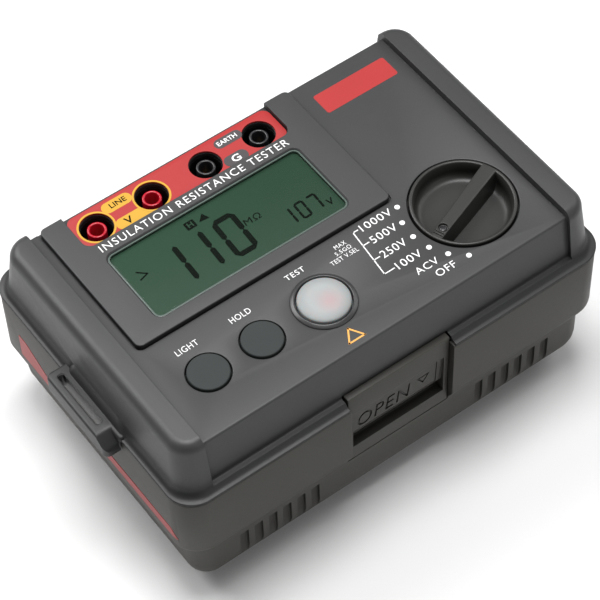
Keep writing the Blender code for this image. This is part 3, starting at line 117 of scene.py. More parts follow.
def low(node):
    """Lowest corner of a frame node."""
    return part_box(node)[0]


def high(node):
    """Highest corner of a frame node."""
    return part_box(node)[1]


def middle(node):
    """Centre of a frame node."""
    return (low(node) + high(node)) / 2


# ---------------------------------------------------------------- places taken from the frame
CHEEK_Z = high("front_housing").z
PANEL_Z = CHEEK_Z - CHEEK_RISE
PANEL_UNDER_Z = PANEL_Z - CASE_WALL
TRAY_RIM_Z = high("storage_tray").z
TRAY_BASE_Z = low("storage_tray").z
FLANGE_Z = TRAY_RIM_Z + SEAM
TRAY_X = high("storage_tray").x
TRAY_Y = high("storage_tray").y
HALF_X = TRAY_X + TRAY_INSET
HALF_Y = TRAY_Y + TRAY_INSET
TRAY_LOW_X = TRAY_X - 3.9 * MM
TRAY_LOW_Y = -low("latch_tongue").y
LUG_X = high("front_housing").x
WALL_FOOT_X = HALF_X - 2.6 * MM
WALL_FOOT_Y = HALF_Y - 3.3 * MM
WALL_TOP_X = WALL_FOOT_X - 0.9 * MM
WALL_TOP_Y = WALL_FOOT_Y - 1.8 * MM
PANEL_X = WALL_TOP_X - CHEEK_WIDTH
PANEL_Y = WALL_TOP_Y - 1.1 * MM
WAIST_TOP_Z = TRAY_RIM_Z - 23.0 * MM
WAIST_LOW_Z = WAIST_TOP_Z - 5.5 * MM
PLATE_TOP_Z = high("display_plate").z
LABEL_TOP_Z = high("terminal_label").z
JACKS = [middle(f"jack_tube_{i}") for i in range(1, 5)]
KNOB = Vector((middle("rotary_switch_body").x, middle("rotary_switch_body").y, 0.0))
LIGHT_KEY = middle("light_button")
HOLD_KEY = middle("hold_button")
TEST_KEY = middle("test_bezel")
KEY_FLANGE_TOP = PANEL_UNDER_Z - SEAM
KEY_FLANGE_LOW = KEY_FLANGE_TOP - KEY_FLANGE


# ---------------------------------------------------------------- what a user may change
class TesterSizes(bpy.types.PropertyGroup):
    """Sizes of the visible pieces."""

    edge: FloatProperty(
        name="Edge rounding", description="Rounding of moulded edges", default=SOFT,
        min=0.0, max=0.001, unit="LENGTH", precision=5)
    dot: FloatProperty(
        name="Scale dot", description="Radius of the dots round the knob", default=0.82 * MM,
        min=0.0003, max=0.002, unit="LENGTH", precision=5)
    dot_ring: FloatProperty(
        name="Scale radius", description="Distance of the dots from the knob's centre",
        default=18.93 * MM, min=0.017, max=0.022, unit="LENGTH", precision=5)
    digit: FloatProperty(
        name="Digit height", description="Height of the display's large digits",
        default=13.6 * MM, min=0.005, max=0.02, unit="LENGTH", precision=5)


def colour_property(name, description, default):
    """A colour that a user may change."""
    return FloatVectorProperty(name=name, description=description, default=default,
                               subtype="COLOR", size=3, min=0.0, max=1.0)


class TesterColours(bpy.types.PropertyGroup):
    """Colours of the finishes."""

    case: colour_property("Case", "Upper housing and panel", (0.036, 0.036, 0.037))
    dark: colour_property("Tray", "Tray, latch and rear housing", (0.046, 0.044, 0.038))
    knob: colour_property("Knob", "Selector knob", (0.022, 0.022, 0.020))
    key: colour_property("Keys", "Rubber of the small keys", (0.024, 0.0285, 0.028))
    red: colour_property("Red", "Terminal label, badge and stripes", (0.36, 0.020, 0.020))
    yellow: colour_property("Yellow", "Terminal marks", (0.55, 0.30, 0.02))
    display: colour_property("Display", "Liquid crystal display", (0.020, 0.052, 0.030))


# ---------------------------------------------------------------- mesh helpers
def fraction(a, b, share):
    """A value part of the way from a to b."""
    return a + (b - a) * share


def soften(points, radius, steps=5):
    """Round the corners of an open line of 2-D points; its ends stay."""
    out = [points[0]]
    for before, corner, after in zip(points, points[1:], points[2:]):
        here = Vector(corner)
        back = Vector(before) - here
        on = Vector(after) - here
        reach = min(radius, back.length * 0.48, on.length * 0.48)
        start = here + back.normalized() * reach
        end = here + on.normalized() * reach
        for i in range(steps + 1):
            t = i / steps
            bend = start * (1 - t) ** 2 + here * 2 * t * (1 - t) + end * t ** 2
            out.append(tuple(bend))
    out.append(points[-1])
    return out


def soften_loop(points, radius, steps=5):
    """Round every corner of a closed outline."""
    wrapped = [points[-1]] + list(points) + [points[0]]
    return soften(wrapped, radius, steps)[1:-1]


def ring(bm, half_x, half_y, corner, z, centre=(0.0, 0.0), steps=10):
    """Edges of a rectangle with round corners: a circle whose quarters are moved apart."""
    turn = Matrix.Rotation(math.pi / (4 * steps), 4, "Z")
    verts = bmesh.ops.create_circle(bm, segments=4 * steps, radius=corner, matrix=turn)["verts"]
    for vert in verts:
        vert.co.x += math.copysign(half_x - corner, vert.co.x) + centre[0]
        vert.co.y += math.copysign(half_y - corner, vert.co.y) + centre[1]
        vert.co.z = z
    return list({edge for vert in verts for edge in vert.link_edges})


def loft(rows, steps=10):
    """A closed solid through rings; each row is what ring() takes."""
    bm = bmesh.new()
    rings = [ring(bm, *row, steps=steps) for row in rows]
    for lower, upper in zip(rings, rings[1:]):
        bmesh.ops.bridge_loops(bm, edges=lower + upper)
    bmesh.ops.contextual_create(bm, geom=rings[0])
    bmesh.ops.contextual_create(bm, geom=rings[-1])
    bmesh.ops.recalc_face_normals(bm, faces=bm.faces[:])
    return bm


def slab(left, right, front, back, bottom, top, corner, ease=0.0, steps=8):
    """A plate with round corners and, when asked, an eased top edge."""
    centre = ((left + right) / 2, (front + back) / 2)
    half = ((right - left) / 2, (back - front) / 2)
    rows = [(*half, corner, bottom, centre)]
    if ease:
        for i in range(5):
            angle = math.pi / 2 * i / 4
            inset = ease * (1 - math.cos(angle))
            rise = top - ease * (1 - math.sin(angle))
            rows.append((half[0] - inset, half[1] - inset, corner - inset * 0.8, rise, centre))
    else:
        rows.append((*half, corner, top, centre))
    return loft(rows, steps)


def turned(profile, centre, steps=64):
    """Spin a line of (radius, height) about an upright axis."""
    bm = bmesh.new()
    verts = [bm.verts.new((radius, 0.0, height)) for radius, height in profile]
    edges = [bm.edges.new(pair) for pair in zip(verts, verts[1:])]
    if profile[0][0] > 0.0 and profile[-1][0] > 0.0:
        edges.append(bm.edges.new((verts[-1], verts[0])))
    bmesh.ops.spin(bm, geom=verts + edges, cent=(0, 0, 0), axis=(0, 0, 1), dvec=(0, 0, 0),
                   angle=2 * math.pi, steps=steps, use_merge=True)
    bmesh.ops.remove_doubles(bm, verts=bm.verts[:], dist=1e-7)
    bmesh.ops.dissolve_degenerate(bm, edges=bm.edges[:], dist=1e-8)
    bmesh.ops.recalc_face_normals(bm, faces=bm.faces[:])
    bmesh.ops.translate(bm, verts=bm.verts[:], vec=(centre[0], centre[1], 0.0))
    return bm


def prism(outline, axis, start, end):
    """Extrude a closed outline of two coordinates along X, Y or Z."""
    bm = bmesh.new()
    place = {
        "X": lambda a, b: (start, a, b),
        "Y": lambda a, b: (a, start, b),
        "Z": lambda a, b: (a, b, start),
    }[axis]
    along = {"X": Vector((1, 0, 0)), "Y": Vector((0, 1, 0)), "Z": Vector((0, 0, 1))}[axis]
    verts = [bm.verts.new(place(a, b)) for a, b in outline]
    rim = [bm.edges.new(pair) for pair in zip(verts, verts[1:] + verts[:1])]
    face = bmesh.ops.contextual_create(bm, geom=rim)["faces"]
    grown = bmesh.ops.extrude_face_region(bm, geom=face)["geom"]
    moved = [item for item in grown if isinstance(item, bmesh.types.BMVert)]
    bmesh.ops.translate(bm, verts=moved, vec=along * (end - start))
    bmesh.ops.recalc_face_normals(bm, faces=bm.faces[:])
    return bm


def block(lowest, highest, ease=0.0):
    """A box, with its edges eased when asked."""
    bm = bmesh.new()
    lowest, highest = Vector(lowest), Vector(highest)
    bmesh.ops.create_cube(bm, size=1.0)
    bmesh.ops.scale(bm, verts=bm.verts[:], vec=highest - lowest)
    bmesh.ops.translate(bm, verts=bm.verts[:], vec=(lowest + highest) / 2)
    if ease:
        round_edges(bm, ease, 3)
    return bm


def round_edges(bm, width, segments=2, angle=math.radians(35)):
    """Bevel the edges that are sharper than an angle."""
    sharp = [edge for edge in bm.edges if edge.calc_face_angle(0.0) > angle]
    bmesh.ops.bevel(bm, geom=sharp, offset=width, offset_type="OFFSET", segments=segments,
                    profile=0.5, affect="EDGES", clamp_overlap=True, material=-1)


def scratch(bm, name="scratch"):
    """A throw-away object that holds a bmesh."""
    mesh = bpy.data.meshes.new(name)
    bm.to_mesh(mesh)
    bm.free()
    obj = bpy.data.objects.new(name, mesh)
    bpy.context.scene.collection.objects.link(obj)
    return obj


def combine(base, *steps):
    """Cut from or add to a solid; each step is a solid and 'cut', 'add' or 'keep'."""
    words = {"cut": "DIFFERENCE", "add": "UNION", "keep": "INTERSECT"}
    target = scratch(base)
    tools = []
    for tool, word in steps:
        helper = scratch(tool)
        modifier = target.modifiers.new("step", "BOOLEAN")
        modifier.operation = words[word]
        modifier.solver = "EXACT"
        modifier.object = helper
        tools.append(helper)
    graph = bpy.context.evaluated_depsgraph_get()
    mesh = bpy.data.meshes.new_from_object(target.evaluated_get(graph))
    out = bmesh.new()
    out.from_mesh(mesh)
    for obj in [target, *tools]:
        old = obj.data
        bpy.data.objects.remove(obj)
        bpy.data.meshes.remove(old)
    bpy.data.meshes.remove(mesh)
    return out


def merge(*solids):
    """Put separate solids into one bmesh, without joining them."""
    out = bmesh.new()
    for solid in solids:
        mesh = bpy.data.meshes.new("part")
        solid.to_mesh(mesh)
        solid.free()
        out.from_mesh(mesh)
        bpy.data.meshes.remove(mesh)
    return out


def piece(name, bm, finish, body, replaces=()):
    """Turn a bmesh into a finished piece that moves with a body."""
    mesh = bpy.data.meshes.new(name)
    bm.to_mesh(mesh)
    bm.free()
    mesh.shade_smooth()
    mesh.set_sharp_from_angle(angle=SHARP)
    mesh.materials.append(finish)
    obj = bpy.data.objects.new(name, mesh)
    bpy.context.scene.collection.objects.link(obj)
    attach(obj, body)
    if replaces:
        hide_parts(*replaces)
    return obj


def lettering(words, left, bottom, right, top, z, weight=0.0, lean=0.0, ink=INK, spacing=1.0):
    """Flat letters fitted into a box on an upward surface."""
    curve = bpy.data.curves.new("letters", "FONT")
    curve.body = words
    curve.size = 1.0
    curve.offset = weight
    curve.shear = lean
    curve.space_character = spacing
    curve.resolution_u = 4
    obj = bpy.data.objects.new("letters", curve)
    bpy.context.scene.collection.objects.link(obj)
    graph = bpy.context.evaluated_depsgraph_get()
    mesh = bpy.data.meshes.new_from_object(obj.evaluated_get(graph))
    bm = bmesh.new()
    bm.from_mesh(mesh)
    bpy.data.objects.remove(obj)
    bpy.data.curves.remove(curve)
    bpy.data.meshes.remove(mesh)
    xs = [vert.co.x for vert in bm.verts]
    ys = [vert.co.y for vert in bm.verts]
    size = ((right - left) / (max(xs) - min(xs)), (top - bottom) / (max(ys) - min(ys)), 1.0)
    bmesh.ops.translate(bm, verts=bm.verts[:], vec=(-min(xs), -min(ys), 0.0))
    bmesh.ops.scale(bm, verts=bm.verts[:], vec=size)
    bmesh.ops.translate(bm, verts=bm.verts[:], vec=(left, bottom, z))
    thicken(bm, ink)
    return bm


def thicken(bm, height):
    """Give flat faces a height upwards."""
    bmesh.ops.remove_doubles(bm, verts=bm.verts[:], dist=1e-7)
    grown = bmesh.ops.extrude_face_region(bm, geom=bm.faces[:])["geom"]
    moved = [item for item in grown if isinstance(item, bmesh.types.BMVert)]
    bmesh.ops.translate(bm, verts=moved, vec=(0.0, 0.0, height))
    bmesh.ops.recalc_face_normals(bm, faces=bm.faces[:])


def dot(x, y, radius, z, ink=INK, steps=24):
    """A printed dot."""
    bm = bmesh.new()
    bmesh.ops.create_circle(bm, cap_ends=True, segments=steps, radius=radius,
                            matrix=Matrix.Translation((x, y, z)))
    thicken(bm, ink)
    return bm


def stroke(x0, y0, x1, y1, width, z, ink=INK):
    """A printed straight line."""
    run = Vector((x1 - x0, y1 - y0))
    bm = bmesh.new()
    place = Matrix.Translation(((x0 + x1) / 2, (y0 + y1) / 2, z))
    turn = Matrix.Rotation(math.atan2(run.y, run.x), 4, "Z")
    size = Matrix.Diagonal((run.length / 2 + width / 2, width / 2, 1.0, 1.0))
    bmesh.ops.create_grid(bm, x_segments=1, y_segments=1, size=1.0, matrix=place @ turn @ size)
    thicken(bm, ink)
    return bm


def annulus(x, y, inner, outer, z, ink=INK, steps=64):
    """A printed ring."""
    profile = [(outer, z), (outer, z + ink), (inner, z + ink), (inner, z)]
    return turned(profile, (x, y), steps)


# ---------------------------------------------------------------- shader helpers
class Wire:
    """A shader socket; arithmetic on it adds Math nodes."""

    def __init__(self, finish, socket):
        self.finish = finish
        self.socket = socket

    def math(self, operation, *values):
        return self.finish.node("ShaderNodeMath", {"operation": operation}, values)

    def __add__(self, other):
        return self.math("ADD", self, other)

    __radd__ = __add__

    def __sub__(self, other):
        return self.math("SUBTRACT", self, other)

    def __rsub__(self, other):
        return self.math("SUBTRACT", other, self)

    def __mul__(self, other):
        return self.math("MULTIPLY", self, other)

    __rmul__ = __mul__

    def clamp(self):
        return self.math("MINIMUM", self.math("MAXIMUM", self, 0.0), 1.0)


class Finish:
    """A Principled material under construction."""

    def __init__(self, name, roughness=0.5, **constants):
        self.material = bpy.data.materials.new(name)
        self.material.use_nodes = True
        self.tree = self.material.node_tree
        self.shader = self.tree.nodes["Principled BSDF"]
        self.set("Roughness", roughness)
        for socket, value in constants.items():
            self.set(socket.replace("_", " "), value)

    def node(self, kind, settings=None, sockets=(), out=0):
        """Add a node: its settings first, then its sockets by place or by name."""
        node = self.tree.nodes.new(kind)
        for key, value in (settings or {}).items():
            setattr(node, key, value)
        pairs = sockets.items() if isinstance(sockets, dict) else enumerate(sockets)
        for key, value in pairs:
            self.feed(node.inputs[key], value)
        return Wire(self, node.outputs[out])

    def feed(self, socket, value):
        if isinstance(value, Wire):
            self.tree.links.new(value.socket, socket)
        elif isinstance(value, (tuple, list)) and socket.type == "RGBA" and len(value) == 3:
            socket.default_value = (*value, 1.0)
        else:
            socket.default_value = value

    def set(self, name, value):
        self.feed(self.shader.inputs[name], value)

    def place(self):
        """Where on the piece a point is, in metres."""
        return self.node("ShaderNodeTexCoord", out="Object")

    def noise(self, scale, detail=2.0, roughness=0.5, vector=None):
        sockets = {"Vector": vector or self.place(), "Scale": scale, "Detail": detail,
                   "Roughness": roughness}
        return self.node("ShaderNodeTexNoise", None, sockets)

    def blend(self, factor, first, second):
        """Mix two colours."""
        settings = {"data_type": "RGBA"}
        return self.node("ShaderNodeMix", settings, {0: factor, 6: first, 7: second}, out=2)

    def step(self, value, start, end):
        """0 below start and 1 above end."""
        sockets = {0: value, 1: start, 2: end, 3: 0.0, 4: 1.0}
        return self.node("ShaderNodeMapRange", {"clamp": True}, sockets)

    def bump(self, height, strength, distance, edge=0.0):
        """Surface relief on top of a slight rounding of hard edges."""
        sockets = {"Height": height, "Strength": strength, "Distance": distance}
        if edge:
            sockets["Normal"] = self.node("ShaderNodeBevel", {"samples": 4}, {"Radius": edge})
        return self.node("ShaderNodeBump", None, sockets)


def tint(colour, share):
    """A colour made lighter or darker."""
    return tuple(min(1.0, channel * share) for channel in colour)


def moulded(name, colour, roughness=0.44, grain=0.22, pebble=3200.0, edge=0.25 * MM, wear_and_highlight=0.16,
            shine=0.42, foot=None):
    """Injection-moulded plastic: spark-eroded grain, slight clouding, polished edges lightened as
    wear and partly as a painted highlight, painted shade in corners.

    Below the height of foot, where it is given, the skin is darkened with painted shade.
    """
    finish = Finish(name, Specular_IOR_Level=shine)
    cloud = finish.noise(28.0, 3.0)
    fine = finish.noise(pebble, 2.0, 0.6)
    speck = finish.noise(900.0, 1.0)
    bevel = finish.node("ShaderNodeBevel", {"samples": 4}, {"Radius": 0.5 * MM})
    normal = finish.node("ShaderNodeNewGeometry", out="Normal")
    along = finish.node("ShaderNodeVectorMath", {"operation": "DOT_PRODUCT"}, (bevel, normal),
                        "Value")
    rim = finish.step(along, 0.97, 0.88)
    # Painted shade: ambient occlusion gives corners, creases and recesses a darker base colour.
    painted_shade_occlusion = finish.node("ShaderNodeAmbientOcclusion", {"samples": 8}, {"Distance": 7.0 * MM},
                           "AO")
    corner = finish.step(painted_shade_occlusion, 0.92, 0.45)
    body = finish.blend(cloud, tint(colour, 0.94), tint(colour, 1.06))
    body = finish.blend(fine * 0.35, body, tint(colour, 0.86))
    body = finish.blend(corner * 0.75, body, tint(colour, 0.25))
    # Painted shade: a darker band at the foot of the housing, just above the flange.
    if foot:
        height = finish.node("ShaderNodeSeparateXYZ", None, (finish.place(),), "Z")
        shaded = finish.step(height, foot + 1.6 * MM, foot)
        body = finish.blend(shaded * 0.7, body, tint(colour, 0.2))
    # Edge wear, partly a painted highlight: sharp edges get a lighter base colour.
    finish.set("Base Color", finish.blend(rim * wear_and_highlight, body, tint(colour, 1.7)))
    uneven = (cloud - 0.5) * 0.10 + (speck - 0.5) * 0.08
    finish.set("Roughness", (roughness + uneven - rim * 0.10).clamp())
    finish.set("Normal", finish.bump(fine, grain, 0.06 * MM, edge))
    return finish.material


def smooth_plastic(name, colour, roughness=0.28, **constants):
    """Polished plastic with faint flow marks."""
    finish = Finish(name, **constants)
    cloud = finish.noise(60.0, 2.0)
    fine = finish.noise(1400.0, 2.0)
    finish.set("Base Color", finish.blend(cloud, tint(colour, 0.93), tint(colour, 1.05)))
    finish.set("Roughness", (roughness + (cloud - 0.5) * 0.08).clamp())
    finish.set("Normal", finish.bump(fine, 0.05, 0.02 * MM, 0.15 * MM))
    return finish.material


def rubbery(name, colour, roughness=0.72):
    """Soft rubber with a dusty, slightly pitted skin."""
    finish = Finish(name, Specular_IOR_Level=0.35)
    cloud = finish.noise(120.0, 3.0)
    pit = finish.noise(4200.0, 2.0, 0.7)
    finish.set("Base Color", finish.blend(cloud, tint(colour, 0.9), tint(colour, 1.12)))
    finish.set("Roughness", (roughness + (pit - 0.5) * 0.12).clamp())
    finish.set("Normal", finish.bump(pit, 0.16, 0.04 * MM, 0.2 * MM))
    return finish.material


def metal(name, colour, roughness=0.3, lines=900.0):
    """Turned or drawn metal with fine lines round its axis."""
    finish = Finish(name, Metallic=1.0)
    stretched = finish.node("ShaderNodeMapping", None,
                            {"Vector": finish.place(), "Scale": (1, 1, 14)})
    line = finish.noise(lines, 2.0, 0.6, stretched)
    cloud = finish.noise(150.0, 2.0)
    finish.set("Base Color", finish.blend(cloud, tint(colour, 0.88), tint(colour, 1.05)))
    finish.set("Roughness", (roughness + (line - 0.5) * 0.18).clamp())
    finish.set("Normal", finish.bump(line, 0.08, 0.01 * MM, 0.1 * MM))
    return finish.material


def printed(name, colour, roughness=0.55, cover=0.94, shine=0.4):
    """Screen-printed ink: nearly even, with pinholes where the grain shows through."""
    finish = Finish(name, Specular_IOR_Level=shine)
    patch = finish.noise(2600.0, 2.0)
    cloud = finish.noise(70.0, 2.0)
    thin = finish.step(patch, 0.66, 0.80)
    body = finish.blend(cloud, tint(colour, cover), tint(colour, 1.03))
    finish.set("Base Color", finish.blend(thin * 0.35, body, tint(colour, 0.6)))
    finish.set("Roughness", (roughness + (patch - 0.5) * 0.1).clamp())
    finish.set("Normal", finish.bump(patch, 0.12, 0.02 * MM))
    return finish.material


def display_glass(colour):
    """The display's green reflector: cloudy, with painted light making it a little lighter on the
    left, and a fine grain.
    """
    finish = Finish("display_green", Specular_IOR_Level=0.15)
    spot = finish.node("ShaderNodeSeparateXYZ", None, (finish.place(),), "X")
    span = (low("lcd_panel").x, high("lcd_panel").x)
    # Painted light: the reflector lighter on the left and darker on the right.
    across = finish.step(spot, *span)
    cloud = finish.noise(45.0, 2.0)
    grain = finish.noise(5200.0, 1.0)
    body = finish.blend(across, tint(colour, 1.08), tint(colour, 0.86))
    body = finish.blend(cloud * 0.4, body, tint(colour, 1.22))
    finish.set("Base Color", finish.blend(grain * 0.10, body, tint(colour, 0.85)))
    finish.set("Roughness", (0.42 + (cloud - 0.5) * 0.1).clamp())
    finish.set("Normal", finish.bump(grain, 0.05, 0.01 * MM))
    return finish.material


def clear_window():
    """Clear window: mostly see-through, with a faint smear of wear."""
    finish = Finish("clear_window", IOR=1.49, Specular_IOR_Level=0.6)
    smear = finish.noise(90.0, 3.0)
    finish.set("Base Color", finish.blend(smear, (0.01, 0.025, 0.015), (0.015, 0.035, 0.02)))
    finish.set("Roughness", (0.08 + smear * 0.06).clamp())
    finish.set("Alpha", (0.04 + smear * 0.03).clamp())
    return finish.material


def milky_lens():
    """Translucent white lens, with painted shade darkening its rim and a painted warm glow of the
    lamp near its front.
    """
    finish = Finish("milky_lens", Specular_IOR_Level=0.3, Subsurface_Weight=0.25,
                    Subsurface_Scale=0.004)
    spot = finish.node("ShaderNodeVectorMath", {"operation": "SUBTRACT"},
                       (finish.place(), (TEST_KEY.x, TEST_KEY.y, PANEL_Z)))
    flat = finish.node("ShaderNodeVectorMath", {"operation": "MULTIPLY"}, (spot, (1.0, 1.0, 0.0)))
    radius = finish.node("ShaderNodeVectorMath", {"operation": "LENGTH"}, (flat,), "Value")
    # Painted shade: the lens's base colour darker towards its rim.
    rim = finish.step(radius, 4.5 * MM, 7.8 * MM)
    cloud = finish.noise(300.0, 2.0)
    # Painted light: the lamp's warm glow, painted into the base colour near the lens's front.
    lamp = finish.node("ShaderNodeVectorMath", {"operation": "SUBTRACT"},
                       (flat, (0.9 * MM, -1.7 * MM, 0.0)))
    away = finish.node("ShaderNodeVectorMath", {"operation": "LENGTH"}, (lamp,), "Value")
    painted_glow = finish.step(away, 4.6 * MM, 0.4 * MM)
    body = finish.blend(rim, (0.32, 0.335, 0.34), (0.22, 0.24, 0.24))
    body = finish.blend(cloud * 0.2, body, (0.33, 0.31, 0.31))
    finish.set("Base Color", finish.blend(painted_glow * 0.55, body, (0.44, 0.25, 0.25)))
    finish.set("Roughness", (0.44 + cloud * 0.08).clamp())
    return finish.material


def board_finish():
    """Solder mask with lighter copper runs underneath."""
    finish = Finish("solder_mask", Coat_Weight=0.3, Coat_Roughness=0.2)
    settings = {"feature": "DISTANCE_TO_EDGE"}
    cell = finish.node("ShaderNodeTexVoronoi", settings, {"Vector": finish.place(), "Scale": 330.0},
                       "Distance")
    run = finish.step(cell, 0.10, 0.06)
    finish.set("Base Color", finish.blend(run, (0.015, 0.11, 0.045), (0.04, 0.24, 0.09)))
    finish.set("Normal", finish.bump(run, 0.2, 0.03 * MM))
    return finish.material


def cell_finish():
    """Shrink wrap of a cell: a dark sleeve with gold bands."""
    finish = Finish("cell_wrap", Coat_Weight=0.4, Coat_Roughness=0.1)
    fine = finish.noise(700.0, 2.0)
    band = finish.node("ShaderNodeTexWave", {"wave_type": "BANDS", "bands_direction": "X"},
                       {"Vector": finish.place(), "Scale": 3.1, "Distortion": 0.0})
    gold = finish.step(band, 0.72, 0.76)
    finish.set("Base Color", finish.blend(gold, (0.02, 0.03, 0.05), (0.62, 0.42, 0.12)))
    finish.set("Metallic", (gold * 0.8).clamp())
    finish.set("Roughness", (0.3 + (fine - 0.5) * 0.1).clamp())
    return finish.material


_finishes = {}


def finish_for(name):
    """Each finish, made once."""
    colours = bpy.context.scene.tester_colours
    if not _finishes:
        case, dark, red = tuple(colours.case), tuple(colours.dark), tuple(colours.red)
        _finishes.update({
            # The case gets painted shade towards its flange, below foot.
            "case": moulded("moulded_case", case, foot=FLANGE_Z + 2.6 * MM),
            "collar": smooth_plastic("collar_gloss", tint(case, 0.9), 0.30),
            "plate": moulded("moulded_plate", tint(case, 1.03), 0.5, 0.18),
            "tray": moulded("moulded_tray", dark, 0.5, 0.26, 2800.0, shine=0.3),
            "rear": moulded("moulded_rear", tint(dark, 0.9), 0.5, 0.24, 2800.0, shine=0.3),
            "knob": moulded("moulded_knob", tuple(colours.knob), 0.4, 0.12, 4200.0, 0.3 * MM, 0.3),
            "black": moulded("moulded_black", (0.012, 0.012, 0.012), 0.42, 0.1, 3600.0, 0.15 * MM),
            "cream": moulded("moulded_cream", (0.62, 0.56, 0.44), 0.4, 0.1),
            "diffuser": moulded("moulded_diffuser", (0.80, 0.80, 0.76), 0.5, 0.08),
            "key": rubbery("key_rubber", tuple(colours.key)),
            "foot": rubbery("foot_rubber", (0.02, 0.02, 0.02), 0.85),
            "red_plastic": smooth_plastic("red_socket", (0.42, 0.004, 0.018), 0.25),
            "black_plastic": smooth_plastic("black_socket", (0.016, 0.016, 0.018), 0.3),
            "lamp": smooth_plastic("lamp_red", (0.55, 0.02, 0.02), 0.12, Transmission_Weight=0.4),
            "winding": smooth_plastic("winding_tape", (0.70, 0.46, 0.06), 0.45),
            "brass": metal("turned_brass", (0.78, 0.56, 0.26)),
            "steel": metal("plated_steel", (0.62, 0.62, 0.63), 0.28),
            "red": printed("print_red", red, 0.5),
            "stripe": printed("inlay_red", tint(red, 0.9), 0.45),
            "yellow": printed("print_yellow", tuple(colours.yellow)),
            "white": printed("print_white", (0.82, 0.82, 0.82)),
            "grey": printed("print_grey", (0.055, 0.048, 0.050)),
            "orange": printed("print_orange", (0.80, 0.38, 0.08)),
            "segment": printed("display_segment", (0.002, 0.003, 0.002), 0.5, 0.9, 0.05),
            "display": display_glass(tuple(colours.display)),
            "window": clear_window(),
            # Painted highlight: a lighter, glossy green for the thin frame that stands for the
            # window edge's highlight.
            "window_edge_highlight": smooth_plastic("window_edge_highlight", (0.085, 0.115, 0.10), 0.22),
            "lens": milky_lens(),
            "board": board_finish(),
            "cell": cell_finish(),
        })
    return _finishes[name]


# ---------------------------------------------------------------- front shell
def shell_rows(steps=8):
    """Rings of the upper housing, from the flange up over the cheeks."""
    edge = FLANGE_Z + FLANGE_EDGE
    side_x, side_y = HALF_X - FLARE_TURN, HALF_Y - FLARE_TURN
    rows = [
        (HALF_X - 0.25 * MM, HALF_Y - 0.25 * MM, FLANGE_CORNER, FLANGE_Z),
        (HALF_X, HALF_Y, FLANGE_CORNER, FLANGE_Z + 0.2 * MM),
        (HALF_X, HALF_Y, FLANGE_CORNER, edge - 0.1 * MM),
        (side_x, side_y, FLANGE_CORNER - 0.1 * MM, edge + 0.1 * MM),
    ]
    flare = 7
    for i in range(1, flare + 1):
        share = i / flare
        angle = share * math.pi / 2
        rows.append((fraction(side_x, WALL_FOOT_X, math.sin(angle)),
                     fraction(side_y, WALL_FOOT_Y, math.sin(angle)),
                     fraction(FLANGE_CORNER - 0.1 * MM, WALL_CORNER, share),
                     edge + 0.1 * MM + FLARE_HEIGHT * (1 - math.cos(angle))))
    for i in range(steps + 1):
        angle = math.pi / 2 * i / steps
        inset = CHEEK_ROUND * (1 - math.cos(angle))
        rows.append((WALL_TOP_X - inset, WALL_TOP_Y - inset, WALL_CORNER - inset,
                     CHEEK_Z - CHEEK_ROUND * (1 - math.sin(angle))))
    return rows


def channel(edge):
    """What is taken out between the cheeks: over the panel and down the front and back walls."""
    lip = FLANGE_Z + LIP_HEIGHT
    foot = WALL_FOOT_Y - 1.1 * MM
    crease = PANEL_Y - 0.5 * MM
    far = HALF_Y + 5 * MM
    roof = CHEEK_Z + 5 * MM
    half = soften([(far, roof), (far, lip), (foot + 0.3 * MM, lip), (foot, lip + 0.5 * MM),
                   (crease, PANEL_Z), (0.0, PANEL_Z)], edge * 2.2, 6)
    right = half[:-1]
    left = [(-y, z) for y, z in reversed(right)]
    return prism(right + left, "X", -PANEL_X, PANEL_X)


def lipped_hole(centre, radius, edge, steps=72):
    """A hole cutter that leaves a rounded lip at the panel."""
    profile = [(0.0, PANEL_Z + 2 * MM), (radius + edge * 1.5, PANEL_Z + 2 * MM),
               (radius + edge * 1.5, PANEL_Z + 0.02 * MM)]
    for i in range(5):
        angle = math.pi / 2 * i / 4
        profile.append((radius + edge * (1 - math.sin(angle)),
                        PANEL_Z - edge * (1 - math.cos(angle))))
    profile += [(radius, PANEL_UNDER_Z - MM), (0.0, PANEL_UNDER_Z - MM)]
    return turned(profile, centre, steps)


def lug(side):
    """A strap lug with its slot and a rounded nose."""
    top = FLANGE_Z + 1.5 * MM
    bottom = top - 5.8 * MM
    nose = 5.0 * MM
    front, back = -19.0 * MM, 11.5 * MM
    outer = side * LUG_X
    xs = sorted((side * (WALL_FOOT_X - 3 * MM), outer))
    bar = slab(*xs, front, back, bottom, top, 1.9 * MM, 0.9 * MM, 12)
    outline = soften([(back + MM, bottom - MM), (back + MM, top), (front + nose, top),
                      (front + 0.5 * MM, top - 3.0 * MM), (front - 0.1 * MM, top - 4.4 * MM),
                      (front, bottom - MM)], 0.9 * MM, 5)
    side_view = prism(outline, "X", xs[0] - MM, xs[1] + MM)
    slot_front, slot_back = -11.5 * MM, 8.8 * MM
    slot_xs = sorted((side * (HALF_X + 0.6 * MM), side * (HALF_X + 2.6 * MM)))
    slot = slab(*slot_xs, slot_front, slot_back, bottom - MM, top + MM, 0.7 * MM)
    ease = 0.25 * MM
    lip = slab(slot_xs[0] - ease, slot_xs[1] + ease, slot_front - ease, slot_back + ease,
               top - 0.2 * MM, top + MM, 0.9 * MM)
    under_xs = sorted((0.0, side * (HALF_X + 0.2 * MM)))
    under = block((under_xs[0], -HALF_Y, bottom - 5 * MM), (under_xs[1], HALF_Y, FLANGE_Z))
    shelf_xs = sorted((side * (WALL_FOOT_X - 4 * MM), side * (HALF_X + 0.45 * MM)))
    shelf = slab(*shelf_xs, front - 0.6 * MM, back + 0.2 * MM, bottom, top - 0.05 * MM, 1.2 * MM,
                 1.1 * MM)
    return combine(bar, (side_view, "keep"), (shelf, "add"), (slot, "cut"), (lip, "cut"),
                   (under, "cut"))


